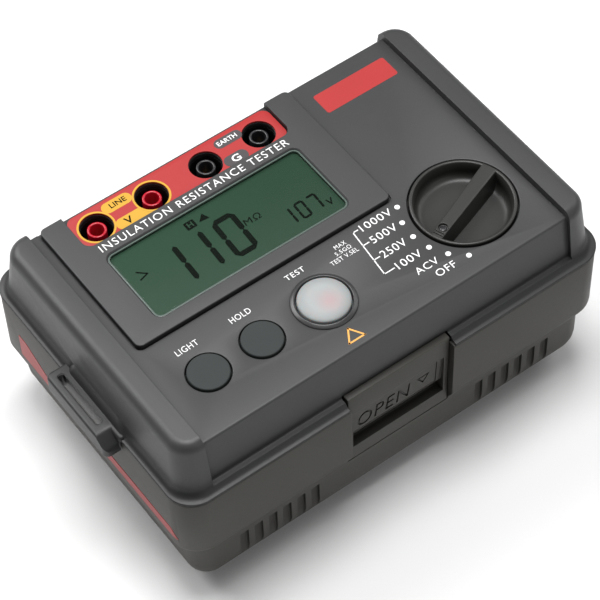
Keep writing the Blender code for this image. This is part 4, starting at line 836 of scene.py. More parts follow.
def lug_root(side):
    """The soft boss that carries the lug on the side wall, lower towards the front."""
    start = FLANGE_Z + 0.4 * MM
    height = 13.5 * MM
    inner = WALL_TOP_X - 8 * MM
    rows = []
    levels = 12
    for i in range(levels):
        share = i / (levels - 1)
        outer = fraction(WALL_TOP_X - 0.9 * MM, HALF_X - 0.1 * MM, (1 - share) ** 2.2)
        front = fraction(-21.0 * MM, -1.0 * MM, share ** 1.3)
        back = fraction(10.0 * MM, 5.5 * MM, share ** 1.6)
        half_x = (outer - inner) / 2
        corner = min(3.0 * MM, half_x * 0.9, (back - front) * 0.45)
        rows.append((half_x, (back - front) / 2, corner, start + share * height,
                     (side * (outer + inner) / 2, (front + back) / 2)))
    return loft(rows)


def build_front_shell(sizes):
    """The upper housing: walls, cheeks, panel with its holes, and both lugs."""
    edge = sizes.edge
    cavity = (TRAY_X - TRAY_WALL - REAR_CLEAR_X - CASE_WALL,
              TRAY_Y - TRAY_WALL - REAR_CLEAR_Y - CASE_WALL, 5.8 * MM)
    steps = []
    for side in (-1, 1):
        steps.append((lug_root(side), "add"))
        steps.append((lug(side), "add"))
    steps.append((channel(edge), "cut"))
    steps.append((loft([(*cavity, FLANGE_Z - MM), (*cavity, PANEL_UNDER_Z)]), "cut"))
    plate_low, plate_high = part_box("display_plate")
    groove = 0.5 * MM
    steps.append((slab(plate_low.x - groove, plate_high.x + groove, plate_low.y - groove,
                       HALF_Y + 5 * MM, PANEL_Z - 0.8 * MM, PANEL_Z + MM, 2.3 * MM), "cut"))
    panel_low, panel_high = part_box("lcd_panel")
    steps.append((slab(panel_low.x - SEAM, panel_high.x + SEAM, panel_low.y - SEAM,
                       panel_high.y + SEAM, PANEL_UNDER_Z - MM, PANEL_Z + MM, 2.0 * MM), "cut"))
    for jack in JACKS:
        steps.append((lipped_hole(jack, JACK_WELL, 0.05 * MM), "cut"))
    steps.append((lipped_hole(KNOB, KNOB_RADIUS + KNOB_GAP, edge, 128), "cut"))
    for key in (LIGHT_KEY, HOLD_KEY):
        steps.append((lipped_hole(key, KEY_RADIUS + KEY_GAP, edge * 0.8), "cut"))
    steps.append((lipped_hole(TEST_KEY, TEST_HOLE, 0.05 * MM), "cut"))
    notch = LATCH_HALF + 0.7 * MM
    tongue = high("latch_tongue")
    steps.append((block((-notch, -HALF_Y - MM, FLANGE_Z - MM),
                        (notch, tongue.y + SEAM, tongue.z + SEAM)), "cut"))
    shell = combine(loft(shell_rows(), 14), *steps)
    piece("front_shell", shell, finish_for("case"), "instrument", ["front_housing"])


# ---------------------------------------------------------------- tray, latch and stripes
def tray_rows():
    """Rings of the tray's outside, from the base up."""
    rows = []
    for i in range(9):
        angle = math.pi / 2 * i / 8
        inset = TRAY_ROUND * (1 - math.sin(angle))
        corner = fraction(TRAY_LOW_CORNER, 3.2 * MM, inset / TRAY_ROUND)
        rows.append((TRAY_LOW_X - inset, TRAY_LOW_Y - inset, corner,
                     TRAY_BASE_Z + TRAY_ROUND * (1 - math.cos(angle))))
    for i in range(7):
        share = i / 6
        swell = 0.5 - 0.5 * math.cos(math.pi * share)
        rows.append((fraction(TRAY_LOW_X, TRAY_X, swell), fraction(TRAY_LOW_Y, TRAY_Y, swell),
                     fraction(TRAY_LOW_CORNER, TRAY_CORNER, swell),
                     fraction(WAIST_LOW_Z, WAIST_TOP_Z, share)))
    for i in range(4):
        angle = math.pi / 2 * i / 3
        inset = RIM_ROUND * (1 - math.cos(angle))
        rows.append((TRAY_X - inset, TRAY_Y - inset, TRAY_CORNER,
                     TRAY_RIM_Z - RIM_ROUND * (1 - math.sin(angle))))
    return rows


def tray_hollow():
    """Rings of the tray's inside."""
    deep = TRAY_ROUND - TRAY_WALL
    floor = TRAY_BASE_Z + TRAY_WALL
    low_x, low_y, low_corner = TRAY_LOW_X - TRAY_WALL, TRAY_LOW_Y - TRAY_WALL, 5.3 * MM
    top = (TRAY_X - TRAY_WALL, TRAY_Y - TRAY_WALL, TRAY_CORNER - TRAY_WALL)
    rows = []
    for i in range(7):
        angle = math.pi / 2 * i / 6
        inset = deep * (1 - math.sin(angle))
        rows.append((low_x - inset, low_y - inset, fraction(low_corner, 2.6 * MM, inset / deep),
                     floor + deep * (1 - math.cos(angle))))
    rows.append((low_x, low_y, low_corner, WAIST_LOW_Z))
    rows.append((*top, WAIST_TOP_Z + TRAY_WALL / 2))
    rows.append((*top, TRAY_RIM_Z + 5 * MM))
    return rows


def tray_band(grow):
    """The tray's upper outline grown by a margin."""
    return loft([(TRAY_X + grow, TRAY_Y + grow, TRAY_CORNER + grow, z)
                 for z in (WAIST_TOP_Z - MM, TRAY_RIM_Z + MM)])


def stripe_side(grow, side):
    """A stripe's side view pushed through the wall: pointed in front, a blade behind."""
    top = TRAY_RIM_Z - 16.3 * MM + grow
    bottom = top - 3.8 * MM - 2 * grow
    blade = top + 5.7 * MM
    neck = 20.0 * MM
    back = 36.0 * MM + grow
    outline = soften_loop([
        (-44.3 * MM - grow, bottom + 0.2 * MM), (neck, bottom), (back, bottom), (back, blade),
        (back - 4.0 * MM, blade), (neck, top), (-41.6 * MM, top),
    ], 0.6 * MM, 4)
    return prism(outline, "X", side * (TRAY_X - TRAY_CORNER), side * (TRAY_X + MM))


def grip_cutter(side, face, number):
    """A vertical groove with a round bottom, low on the tray's side."""
    first, pitch = 30.0 * MM, 5.0 * MM
    half = 1.5 * MM
    x = side * (first + pitch * number)
    depth = TRAY_LOW_Y - 1.2 * MM
    top = TRAY_BASE_Z + TRAY_ROUND + 7.7 * MM
    outside = HALF_Y + MM
    outline = soften_loop([(x - half, face * outside), (x - half, face * depth),
                           (x + half, face * depth), (x + half, face * outside)], 0.7 * MM, 4)
    return prism(outline, "Z", -MM, top)


def foot_pocket(centre):
    """What is taken out of the tray's base for a foot."""
    sink = TRAY_BASE_Z + FOOT_SINK
    radius = FOOT_RADIUS + 0.2 * MM
    return turned([(0.0, sink), (radius, sink), (radius, 0.0), (0.0, 0.0)], centre)


def build_foot(number, centre):
    """A rubber foot with a shallow dish in its sole."""
    top = TRAY_BASE_Z + FOOT_SINK - 0.2 * MM
    dish = 0.25 * MM
    profile = soften([(0.0, top), (FOOT_RADIUS, top), (FOOT_RADIUS, 0.0), (3.4 * MM, 0.0),
                      (3.0 * MM, dish), (0.0, dish)], 0.3 * MM, 3)
    piece(f"rubber_foot_{number}", turned(profile, centre), finish_for("foot"), "tray",
          [f"foot_{number}"])


def build_tray(sizes):
    """The storage tray with its grooves, its inlays and its feet."""
    steps = [(loft(tray_hollow(), 12), "cut")]
    notch = LATCH_HALF + 0.2 * MM
    notch_foot = low("latch_tongue").z - 0.17 * MM
    steps.append((slab(-notch, notch, -HALF_Y - 5 * MM, -HALF_Y + 8 * MM, notch_foot,
                       TRAY_RIM_Z + MM, 0.6 * MM), "cut"))
    for side in (-1, 1):
        for face in (-1, 1):
            for number in range(6):
                steps.append((grip_cutter(side, face, number), "cut"))
        pocket = (tray_band(-STRIPE_DEPTH - 0.05 * MM), "cut")
        steps.append((combine(stripe_side(0.12 * MM, side), pocket), "cut"))
    feet = {number: middle(f"foot_{number}") for number in range(1, 5)}
    for centre in feet.values():
        steps.append((foot_pocket(centre), "cut"))
    tray = combine(loft(tray_rows(), 14), *steps)
    piece("tray_shell", tray, finish_for("tray"), "tray", ["storage_tray"])
    for side, name in ((-1, "left"), (1, "right")):
        stripe = combine(stripe_side(0.0, side), (tray_band(0.1 * MM), "keep"),
                         (tray_band(-STRIPE_DEPTH), "cut"))
        piece(f"inlay_{name}", stripe, finish_for("stripe"), "tray",
              [f"stripe_{name}"])
    for number, centre in feet.items():
        build_foot(number, centre)


def build_latch(sizes):
    """The tongue, with a finger pull whose upper slope carries the engraved word and lines."""
    lowest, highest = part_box("latch_tongue")
    front = lowest.y
    back = front + TRAY_WALL
    bottom = lowest.z + 5.9 * MM
    top = bottom + 16.6 * MM
    shelf = bottom + 4.6 * MM
    slope_foot, slope_top = front + 1.2 * MM, front + 0.7 * MM
    skin = 0.8 * MM
    tongue = block((-LATCH_HALF, front, lowest.z), (LATCH_HALF, back, highest.z), 0.25 * MM)
    hump_half = PULL_HALF + 0.4 * MM
    hump = prism([(back - 0.4 * MM, bottom - skin), (front + 3.7 * MM, bottom - skin),
                  (front + 3.7 * MM, shelf + skin), (back - 0.4 * MM, top)],
                 "X", -hump_half, hump_half)
    hollow = prism(soften([(front - MM, bottom), (front + 3.1 * MM, bottom),
                           (front + 2.9 * MM, shelf), (slope_foot, shelf), (slope_top, top),
                           (front - MM, top)], 0.25 * MM, 3), "X", -PULL_HALF, PULL_HALF)
    steps = [(hump, "add"), (hollow, "cut")]
    slope = math.atan2(slope_foot - slope_top, top - shelf)
    lean = Matrix.Translation((0.0, slope_foot, shelf))
    lean = lean @ Matrix.Rotation(math.pi / 2 + slope, 4, "X")
    engraved, tall = 0.45 * MM, 0.7 * MM
    words = lettering("OPEN", -13.9 * MM, 2.0 * MM, 4.8 * MM, 8.2 * MM, -engraved, lean=0.12,
                      ink=tall, spacing=1.12)
    lines = [((7.6, 7.4), (11.4, 7.4), 0.5), ((7.6, 7.4), (9.5, 4.4), 0.5),
             ((11.4, 7.4), (9.5, 4.4), 0.5), ((-15.4, 0.7), (14.2, 0.7), 0.3),
             ((14.2, 0.7), (14.2, 10.6), 0.3)]
    marks = [stroke(a[0] * MM, a[1] * MM, b[0] * MM, b[1] * MM, width * MM, -engraved, tall)
             for a, b, width in lines]
    for mark in [words, *marks]:
        bmesh.ops.transform(mark, matrix=lean, verts=mark.verts[:])
        steps.append((mark, "cut"))
    piece("latch_pull", combine(tongue, *steps), finish_for("tray"), "latch",
          ["latch_tongue"])


# ---------------------------------------------------------------- display
def painted_highlight_rim(left, right, front, back, bottom, top):
    """A thin, lighter frame round the window: a painted highlight where its edge catches the light.
    """
    gap = 0.02 * MM
    width = 0.55 * MM
    outer = slab(left + gap, right - gap, front + gap, back - gap, bottom, top - 0.1 * MM,
                 2.48 * MM, 0.1 * MM)
    inner = slab(left + width, right - width, front + width, back - width, bottom - MM, top + MM,
                 2.0 * MM)
    return combine(outer, (inner, "cut"))


def build_display(sizes):
    """The raised plate, the window in it, the display underneath and the title."""
    lowest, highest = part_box("display_plate")
    label_low, label_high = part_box("terminal_label")
    window_low, window_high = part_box("lcd_window")
    plate = slab(lowest.x, highest.x, lowest.y, highest.y, lowest.z, highest.z, 2.0 * MM,
                 sizes.edge, 10)
    left, right = window_low.x - SEAM, window_high.x + SEAM
    front, back = window_low.y - SEAM, window_high.y + SEAM
    centre = ((left + right) / 2, (front + back) / 2)
    half_x, half_y = (right - left) / 2, (back - front) / 2
    corner = 2.5 * MM
    flare = 0.5 * MM
    opening = loft([
        (half_x, half_y, corner, lowest.z - MM, centre),
        (half_x, half_y, corner, highest.z - 0.45 * MM, centre),
        (half_x + flare, half_y + flare, corner + flare, highest.z + 0.05 * MM, centre)])
    notch = slab(label_low.x - SEAM, label_high.x + SEAM, label_low.y - SEAM, HALF_Y + 5 * MM,
                 lowest.z - MM, highest.z + MM, 3.0 * MM)
    body = combine(plate, (opening, "cut"), (notch, "cut"))
    piece("display_surround", body, finish_for("plate"), "instrument",
          ["display_plate"])
    inset = 0.35 * MM
    glass = slab(window_low.x + inset, window_high.x - inset, window_low.y + inset,
                 window_high.y - inset, window_low.z, window_high.z, 1.9 * MM, 0.15 * MM)
    piece("display_window", glass, finish_for("window"), "instrument",
          ["lcd_window"])
    # A lighter frame round the window, as a painted highlight of its edge.
    rim = painted_highlight_rim(left, right, front, back, window_low.z, window_high.z)
    piece("painted_highlight_rim", rim, finish_for("window_edge_highlight"), "instrument")
    panel_low, panel_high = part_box("lcd_panel")
    screen = slab(panel_low.x, panel_high.x, panel_low.y, panel_high.y, panel_low.z, panel_high.z,
                  1.9 * MM, 0.1 * MM)
    piece("display_screen", screen, finish_for("display"), "instrument",
          ["lcd_panel"])
    title = lettering("INSULATION RESISTANCE TESTER", -49.1 * MM, 25.7 * MM, 16.4 * MM, 28.3 * MM,
                      PLATE_TOP_Z, -0.004, spacing=1.15)
    piece("title_print", title, finish_for("white"), "instrument")
    build_reading(sizes, panel_high.z)


SEGMENTS = {"0": "abcdef", "1": "bc", "7": "abc"}


def bar_segment(x, y, length, width, upright, z):
    """One bar of a digit, with pointed ends."""
    bm = bmesh.new()
    turn = Matrix.Rotation(math.pi / 2, 4, "Z") if upright else Matrix.Identity(4)
    tip, side = length / 2, width / 2
    outline = [(-tip, 0.0), (side - tip, -side), (tip - side, -side), (tip, 0.0),
               (tip - side, side), (side - tip, side)]
    corners = [bm.verts.new((px, py, 0.0)) for px, py in outline]
    bmesh.ops.contextual_create(bm, geom=corners)
    bmesh.ops.transform(bm, matrix=Matrix.Translation((x, y, z)) @ turn, verts=bm.verts[:])
    thicken(bm, 0.05 * MM)
    return bm


def digit(shown, x, y, height, z, lean=0.045):
    """A digit of up to seven bars whose lower left corner is at x, y."""
    width = height * 0.45
    bar = height * 0.125
    reach = height / 2
    spots = {
        "a": (width / 2, height, False), "d": (width / 2, 0.0, False),
        "b": (width, height * 0.75, True), "c": (width, height * 0.25, True),
        "f": (0.0, height * 0.75, True), "e": (0.0, height * 0.25, True),
    }
    bars = []
    for letter in SEGMENTS[shown]:
        sx, sy, upright = spots[letter]
        length = (reach if upright else width) + bar * 0.1
        bars.append(bar_segment(sx, sy, length, bar, upright, z))
    out = merge(*bars)
    skew = Matrix.Identity(4)
    skew[0][1] = lean
    bmesh.ops.transform(out, matrix=Matrix.Translation((x, y, 0.0)) @ skew, verts=out.verts[:])
    return out


def build_reading(sizes, z):
    """The display's digits and marks."""
    z += 0.04 * MM
    tall, small = sizes.digit, sizes.digit * 0.42
    shown = [("1", -38.4, 2.7, tall), ("1", -29.6, 2.7, tall), ("0", -18.5, 2.4, tall),
             ("1", -0.6, 1.9, small), ("0", 4.2, 1.9, small), ("7", 8.5, 1.9, small)]
    parts = [digit(figure, x * MM, y * MM, height, z) for figure, x, y, height in shown]
    thin = 0.45 * MM
    tip = (-42.7 * MM, 12.9 * MM)
    parts += [
        lettering("M", -10.8 * MM, 9.7 * MM, -8.1 * MM, 11.9 * MM, z, lean=0.1),
        lettering("Ω", -7.6 * MM, 9.7 * MM, -5.1 * MM, 12.0 * MM, z, lean=0.1),
        lettering("V", 12.6 * MM, 1.2 * MM, 14.8 * MM, 3.6 * MM, z, 0.02, 0.1),
        stroke(-45.0 * MM, 15.0 * MM, *tip, thin, z),
        stroke(-45.4 * MM, 12.1 * MM, *tip, thin, z),
        slab(-24.9 * MM, -21.6 * MM, 18.3 * MM, 21.2 * MM, z, z + INK, 0.3 * MM),
        prism([(-20.6 * MM, 19.0 * MM), (-17.3 * MM, 18.6 * MM), (-18.4 * MM, 21.2 * MM)], "Z", z,
              z + INK),
    ]
    letter = lettering("H", -24.1 * MM, 18.9 * MM, -22.4 * MM, 20.7 * MM, z + INK, 0.02)
    piece("display_letter", letter, finish_for("display"), "instrument")
    piece("display_reading", merge(*parts), finish_for("segment"), "instrument")


def frame_strokes(corners, width, z):
    """Strokes round a closed outline given in millimetres."""
    pairs = zip(corners, corners[1:] + corners[:1])
    return [stroke(a[0] * MM, a[1] * MM, b[0] * MM, b[1] * MM, width, z) for a, b in pairs]


# ---------------------------------------------------------------- terminals
def capsule(left, right, front, back, z):
    """A printed bar with round ends."""
    return slab(left, right, front, back, z, z + INK, (back - front) / 2 * 0.98)


def through_label(jack, radius):
    """A round cutter through the terminal label."""
    top, bottom = LABEL_TOP_Z + MM, LABEL_TOP_Z - 1.5 * MM
    return turned([(0.0, top), (radius, top), (radius, bottom), (0.0, bottom)], jack)


def build_terminals(sizes):
    """The label with its marks, and the four sockets in their wells."""
    lowest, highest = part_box("terminal_label")
    label = slab(lowest.x, highest.x, lowest.y, highest.y, lowest.z, highest.z, 2.7 * MM, 0.12 * MM)
    holes = [(through_label(jack, JACK_WELL + 0.1 * MM), "cut") for jack in JACKS]
    piece("label_sheet", combine(label, *holes), finish_for("red"), "instrument",
          ["terminal_label"])
    line, volt, ground, earth = JACKS
    z = LABEL_TOP_Z
    upper = z + INK
    rings = [annulus(jack.x, jack.y, 5.12 * MM, 5.75 * MM, upper) for jack in (line, volt)]
    line_bar = capsule(line.x + 4.5 * MM, line.x + 14.4 * MM, 37.2 * MM, 41.2 * MM, z)
    volt_bar = combine(capsule(volt.x - 14.2 * MM, volt.x - 2.0 * MM, 29.8 * MM, 34.0 * MM, z),
                       (through_label(volt, 5.3 * MM), "cut"))
    piece("marks_yellow", merge(*rings, line_bar, volt_bar), finish_for("yellow"), "instrument")
    earth_bar = capsule(earth.x - 13.0 * MM, earth.x - 3.6 * MM, 37.4 * MM, 41.0 * MM, z)
    ground_bar = capsule(ground.x + 4.6 * MM, ground.x + 12.6 * MM, 29.9 * MM, 34.0 * MM, z)
    piece("marks_grey", merge(earth_bar, ground_bar), finish_for("grey"), "instrument")
    dark = [
        lettering("LINE", line.x + 7.2 * MM, 38.4 * MM, line.x + 12.6 * MM, 40.2 * MM, upper, 0.01),
        lettering("V", volt.x - 11.4 * MM, 30.7 * MM, volt.x - 8.9 * MM, 33.2 * MM, upper, 0.02),
    ]
    piece("marks_dark", merge(*dark), finish_for("segment"), "instrument")
    pale = [
        lettering("EARTH", earth.x - 12.0 * MM, 38.5 * MM, earth.x - 5.3 * MM, 40.1 * MM, upper,
                  0.01),
        lettering("G", ground.x + 7.2 * MM, 30.7 * MM, ground.x + 10.0 * MM, 33.3 * MM, upper,
                  0.02),
    ]
    piece("marks_pale", merge(*pale), finish_for("white"), "instrument")
    for number, jack in enumerate(JACKS, start=1):
        build_jack(number, jack)


def build_jack(number, jack):
    """A shrouded socket: its plastic tube and the slit brass contact inside."""
    tube_low, tube_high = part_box(f"jack_tube_{number}")
    top, bottom = tube_high.z, tube_low.z
    profile = open_tube(2.1 * MM, 2.9 * MM, bottom, top, 0.3 * MM)
    finish, slot = ("red_plastic", "jack_red") if number < 3 else ("black_plastic", "case_black")
    piece(f"socket_tube_{number}", turned(profile, jack), finish_for(finish), "instrument",
          [f"jack_tube_{number}"])
    sleeve = turned(open_tube(1.7 * MM, 2.05 * MM, bottom + 0.4 * MM, top - 7.0 * MM, 0.12 * MM),
                    jack)
    tail_end = low(f"jack_socket_{number}").z
    plug, plug_top, plug_low = 2.0 * MM, bottom + 2.0 * MM, bottom + 0.45 * MM
    tail_radius = 1.2 * MM
    tail = turned([(0.0, plug_top), (plug, plug_top), (plug, plug_low), (tail_radius, plug_low),
                   (tail_radius, tail_end), (0.0, tail_end)], jack)
    slit, reach, slit_foot = 0.2 * MM, 3 * MM, bottom + 4 * MM
    slits = [(block((jack.x - x, jack.y - y, slit_foot), (jack.x + x, jack.y + y, top)), "cut")
             for x, y in ((reach, slit), (slit, reach))]
    contact = combine(sleeve, (tail, "add"), *slits)
    piece(f"socket_contact_{number}", contact, finish_for("brass"), "instrument",
          [f"jack_socket_{number}"])


def open_tube(inner, outer, bottom, top, edge):
    """Profile of a tube with a rounded top."""
    profile = [(inner, bottom), (inner, top - edge)]
    middle_radius = (inner + outer) / 2
    half = (outer - inner) / 2
    for i in range(9):
        angle = math.pi * (1 - i / 8)
        profile.append((middle_radius + half * math.cos(angle),
                        top - edge + edge * math.sin(angle)))
    profile.append((outer, bottom))
    return profile


# ---------------------------------------------------------------- keys
def build_small_key(name, key):
    """A rubber key cap, slightly dished, with its flange and stem under the panel."""
    lowest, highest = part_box(f"{name}_button")
    top = highest.z
    flange = KEY_RADIUS + KEY_FLANGE
    profile = soften([
        (0.0, top - 0.12 * MM), (3.0 * MM, top - 0.06 * MM), (KEY_RADIUS, top),
        (KEY_RADIUS, KEY_FLANGE_TOP), (flange, KEY_FLANGE_TOP), (flange, KEY_FLANGE_LOW),
        (KEY_STEM, KEY_FLANGE_LOW), (KEY_STEM, lowest.z), (0.0, lowest.z),
    ], 0.45 * MM, 5)
    piece(f"{name}_key_cap", turned(profile, key, 80), finish_for("key"), f"{name}_key",
          [f"{name}_button"])


def build_collar():
    """The ring round the test key."""
    profile = soften([
        (COLLAR_IN, PANEL_UNDER_Z), (COLLAR_IN, PANEL_Z + 0.55 * MM),
        (COLLAR_IN + 0.35 * MM, PANEL_Z + 0.9 * MM), (COLLAR_OUT - 0.15 * MM, PANEL_Z + 0.35 * MM),
        (COLLAR_OUT, PANEL_Z + 0.05 * MM), (COLLAR_NECK, PANEL_Z + 0.05 * MM),
        (COLLAR_NECK, PANEL_UNDER_Z),
    ], 0.25 * MM, 4)
    piece("test_collar", turned(profile, TEST_KEY, 96), finish_for("collar"), "instrument",
          ["test_bezel"])


def build_lens():
    """The test key: a domed lens, hollow underneath, and the leg that works its switch."""
    lowest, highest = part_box("test_button")
    crown = 1.1 * MM
    hollow = (TEST_RADIUS - 1.6 * MM, highest.z - TEST_SKIN)
    profile = []
    for i in range(13):
        angle = math.pi / 2 * i / 12
        profile.append((TEST_RADIUS * math.sin(angle), highest.z - crown * (1 - math.cos(angle))))
    profile += [
        (TEST_RADIUS, KEY_FLANGE_TOP), (TEST_FLANGE, KEY_FLANGE_TOP), (TEST_FLANGE, KEY_FLANGE_LOW),
        (hollow[0], KEY_FLANGE_LOW), hollow, (0.0, hollow[1])]
    leg_top, leg_radius = KEY_FLANGE_LOW + 0.5 * MM, 1.0 * MM
    leg = turned([(0.0, leg_top), (leg_radius, leg_top), (leg_radius, lowest.z), (0.0, lowest.z)],
                 middle("test_switch"), 24)
    piece("test_lens", combine(turned(profile, TEST_KEY, 96), (leg, "add")), finish_for("lens"),
          "test_key", ["test_button"])


def build_keys(sizes):
    """The two small keys, and the test key in its collar."""
    build_small_key("light", LIGHT_KEY)
    build_small_key("hold", HOLD_KEY)
    build_collar()
    build_lens()


def build_springs(sizes):
    """Key springs: a coil of wire where each of the frame's springs is."""
    wire = 0.22 * MM
    turns, steps = 5, 22
    for name in ("light", "hold", "test"):
        lowest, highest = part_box(f"{name}_spring")
        centre = (lowest + highest) / 2
        height = highest.z - lowest.z
        radius = (highest.x - lowest.x) / 2 - wire
        climb = height - 2 * wire - 0.1 * MM
        bm = bmesh.new()
        start = Matrix.Translation((centre.x + radius, centre.y, lowest.z + wire))
        bmesh.ops.create_circle(bm, cap_ends=True, segments=8, radius=wire,
                                matrix=start @ Matrix.Rotation(math.pi / 2, 4, "X"))
        bmesh.ops.spin(bm, geom=bm.faces[:], cent=centre, axis=(0, 0, 1),
                       dvec=(0, 0, climb / (turns * steps)), angle=2 * math.pi * turns,
                       steps=turns * steps)
        bmesh.ops.remove_doubles(bm, verts=bm.verts[:], dist=1e-8)
        bmesh.ops.recalc_face_normals(bm, faces=bm.faces[:])
        coil = piece(f"{name}_coil", bm, finish_for("steel"), "instrument",
                     [f"{name}_spring"])
        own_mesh(coil)


# ---------------------------------------------------------------- selector
def knob_profile(rim, dish, lowest):
    """Half section of the knob: a dish with a rounded rim, its skirt and its shaft."""
    bowl = 2.6 * MM                 # rounding between the dish's floor and its wall
    wall = KNOB_RADIUS - 1.1 * MM
    lip = 0.55 * MM                 # half of the rim's thickness
    floor = dish - 0.1 * MM
    profile = [(0.0, floor), (4.0 * MM, floor), (wall - bowl * 1.6, dish)]
    for i in range(9):
        angle = math.pi / 2 * i / 8
        profile.append((wall - 0.5 * MM - bowl * (1 - math.sin(angle)),
                        dish + bowl * (1 - math.cos(angle))))
    profile.append((wall - 0.2 * MM, rim - 0.8 * MM))
    for i in range(7):
        angle = math.pi * (1 - i / 6)
        profile.append((KNOB_RADIUS - lip * (1 - math.cos(angle)),
                        rim - 0.45 * MM * (1 - math.sin(angle))))
    skirt = KNOB_RADIUS + 1.4 * MM
    bottom = PANEL_Z - 7.4 * MM
    shaft = 2.6 * MM
    return profile + [
        (KNOB_RADIUS, KEY_FLANGE_TOP), (skirt, KEY_FLANGE_TOP), (skirt, KEY_FLANGE_TOP - 1.2 * MM),
        (KNOB_RADIUS, KEY_FLANGE_TOP - 1.5 * MM), (KNOB_RADIUS - MM, bottom), (shaft, bottom),
        (shaft, lowest), (0.0, lowest)]


def knob_bar(rim, dish, reach):
    """The bar across the dish, wider at its foot and narrower at its pointing end."""
    half, waist, foot = 2.35 * MM, 3.05 * MM, 3.95 * MM
    low_z = dish - 0.4 * MM
    right = [(foot, low_z), (waist, rim - 3.0 * MM), (half, rim)]
    left = [(-y, z) for y, z in reversed(right)]
    bar = prism(soften_loop(left + right, 0.35 * MM, 4), "X", -reach, reach)
    for vert in bar.verts:
        vert.co.y *= fraction(1.0, 0.72, (vert.co.x + reach) / (2 * reach))
    return bar


def build_selector(sizes):
    """The knob with its bar, ticks and pin, turned to where it points at rest."""
    lowest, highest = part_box("selector_knob")
    rim = highest.z
    dish = rim - 5.6 * MM
    body = turned(knob_profile(rim, dish, lowest.z), Vector((0.0, 0.0)), 128)
    bar = knob_bar(rim, dish, KNOB_RADIUS - 0.45 * MM)
    spot = (POINTER_PLACE, 0.0)
    dimple = turned(soften([(0.0, rim + MM), (1.5 * MM, rim + MM), (1.45 * MM, rim - 0.7 * MM),
                            (0.0, rim - 0.7 * MM)], 0.3 * MM, 3), spot, 40)
    ticks = [(block((x - 0.15 * MM, -1.5 * MM, rim - 0.25 * MM),
                    (x + 0.15 * MM, 1.5 * MM, rim + MM)), "cut")
             for x in (13.1 * MM, 14.0 * MM)]
    turn = Matrix.Translation((KNOB.x, KNOB.y, 0.0)) @ Matrix.Rotation(POINTER, 4, "Z")
    knob = combine(body, (bar, "add"), (dimple, "cut"), *ticks)
    bmesh.ops.transform(knob, matrix=turn, verts=knob.verts[:])
    piece("knob_body", knob, finish_for("knob"), "selector", ["selector_knob"])
    top = high("knob_pointer").z
    pin = turned(soften([(0.0, top - 0.25 * MM), (0.85 * MM, top - 0.3 * MM),
                         (1.25 * MM, top - 0.65 * MM), (0.0, top - 0.65 * MM)], 0.25 * MM, 3),
                 spot, 40)
    bmesh.ops.transform(pin, matrix=turn, verts=pin.verts[:])
    piece("knob_pin", pin, finish_for("black_plastic"), "selector", ["knob_pointer"])


# ---------------------------------------------------------------- panel print
def build_print(sizes):
    """The panel's dots, words and bracket, its badge and its triangle."""
    z = PANEL_Z
    parts = []
    for step in range(-3, 3):
        angle = POINTER + step * DETENT
        parts.append(dot(KNOB.x + sizes.dot_ring * math.cos(angle),
                         KNOB.y + sizes.dot_ring * math.sin(angle), sizes.dot, z))
    words = {
        "1000V": (14.4, -12.1, 25.2, -9.6), "500V": (14.2, -17.4, 23.1, -14.8),
        "250V": (13.4, -23.3, 21.9, -20.6), "100V": (14.4, -29.0, 22.9, -26.4),
        "ACV": (17.4, -33.8, 25.1, -31.4), "OFF": (21.6, -37.8, 28.2, -35.4),
        "LIGHT": (-52.1, -15.8, -44.9, -13.8), "HOLD": (-33.9, -15.8, -27.1, -13.8),
        "TEST": (-13.1, -13.2, -6.6, -11.4), "MAX": (4.4, -12.6, 8.2, -11.2),
        "5.5GΩ": (3.2, -14.6, 8.6, -13.2), "TEST V.SEL": (0.2, -16.7, 9.6, -15.2),
    }
    for text, corners in words.items():
        parts.append(lettering(text, *(value * MM for value in corners), z, -0.002, spacing=1.1))
    thin = 0.35 * MM
    bracket = [((11.9, -10.7), (10.1, -27.7)), ((11.9, -10.7), (13.5, -10.7)),
               ((11.3, -16.1), (13.4, -16.1)), ((10.7, -22.0), (12.7, -22.0)),
               ((10.1, -27.7), (13.5, -27.7))]
    for start, end in bracket:
        parts.append(stroke(start[0] * MM, start[1] * MM, end[0] * MM, end[1] * MM, thin, z))
    piece("panel_print", merge(*parts), finish_for("white"), "instrument")
    badge = slab(33.1 * MM, 59.1 * MM, 29.2 * MM, 37.2 * MM, z, z + INK, 0.8 * MM)
    piece("badge_print", badge, finish_for("red"), "instrument")
    triangle = merge(*frame_strokes([(-12.1, -40.8), (-6.8, -40.8), (-9.4, -36.5)], 0.5 * MM, z))
    piece("triangle_print", triangle, finish_for("orange"), "instrument")


# ---------------------------------------------------------------- frame nodes that keep their shape
KEPT = {
    "rear": ["rear_housing", "battery_door"],
    "black": ["terminal_block", "lcd_frame", "light_switch", "hold_switch", "test_switch",
              "rotary_switch_body", "buzzer"],
    "cream": ["rotary_switch_rotor"],
    "diffuser": ["backlight_panel"],
    "board": ["main_board"],
    "winding": ["step_up_transformer"],
    "lamp": ["test_lamp"],
    "steel": ["housing_screw_1", "housing_screw_2", "housing_screw_3", "housing_screw_4",
              "battery_door_screw", "battery_contact_left", "battery_contact_right"],
    "cell": [f"battery_{number}" for number in range(1, 7)],
}


def paint_inside(sizes):
    """Give the frame nodes that keep their shape their finishes."""
    for finish, nodes in KEPT.items():
        for name in nodes:
            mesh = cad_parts[name].data
            mesh.materials.clear()
            mesh.materials.append(finish_for(finish))


# ---------------------------------------------------------------- stage
def floor_finish():
    """Pale, even floor."""
    finish = Finish("pale_floor")
    cloud = finish.noise(2.0, 2.0)
    finish.set("Base Color", finish.blend(cloud, (0.76, 0.76, 0.76), (0.79, 0.79, 0.79)))
    finish.set("Roughness", (0.75 + cloud * 0.1).clamp())
    return finish.material


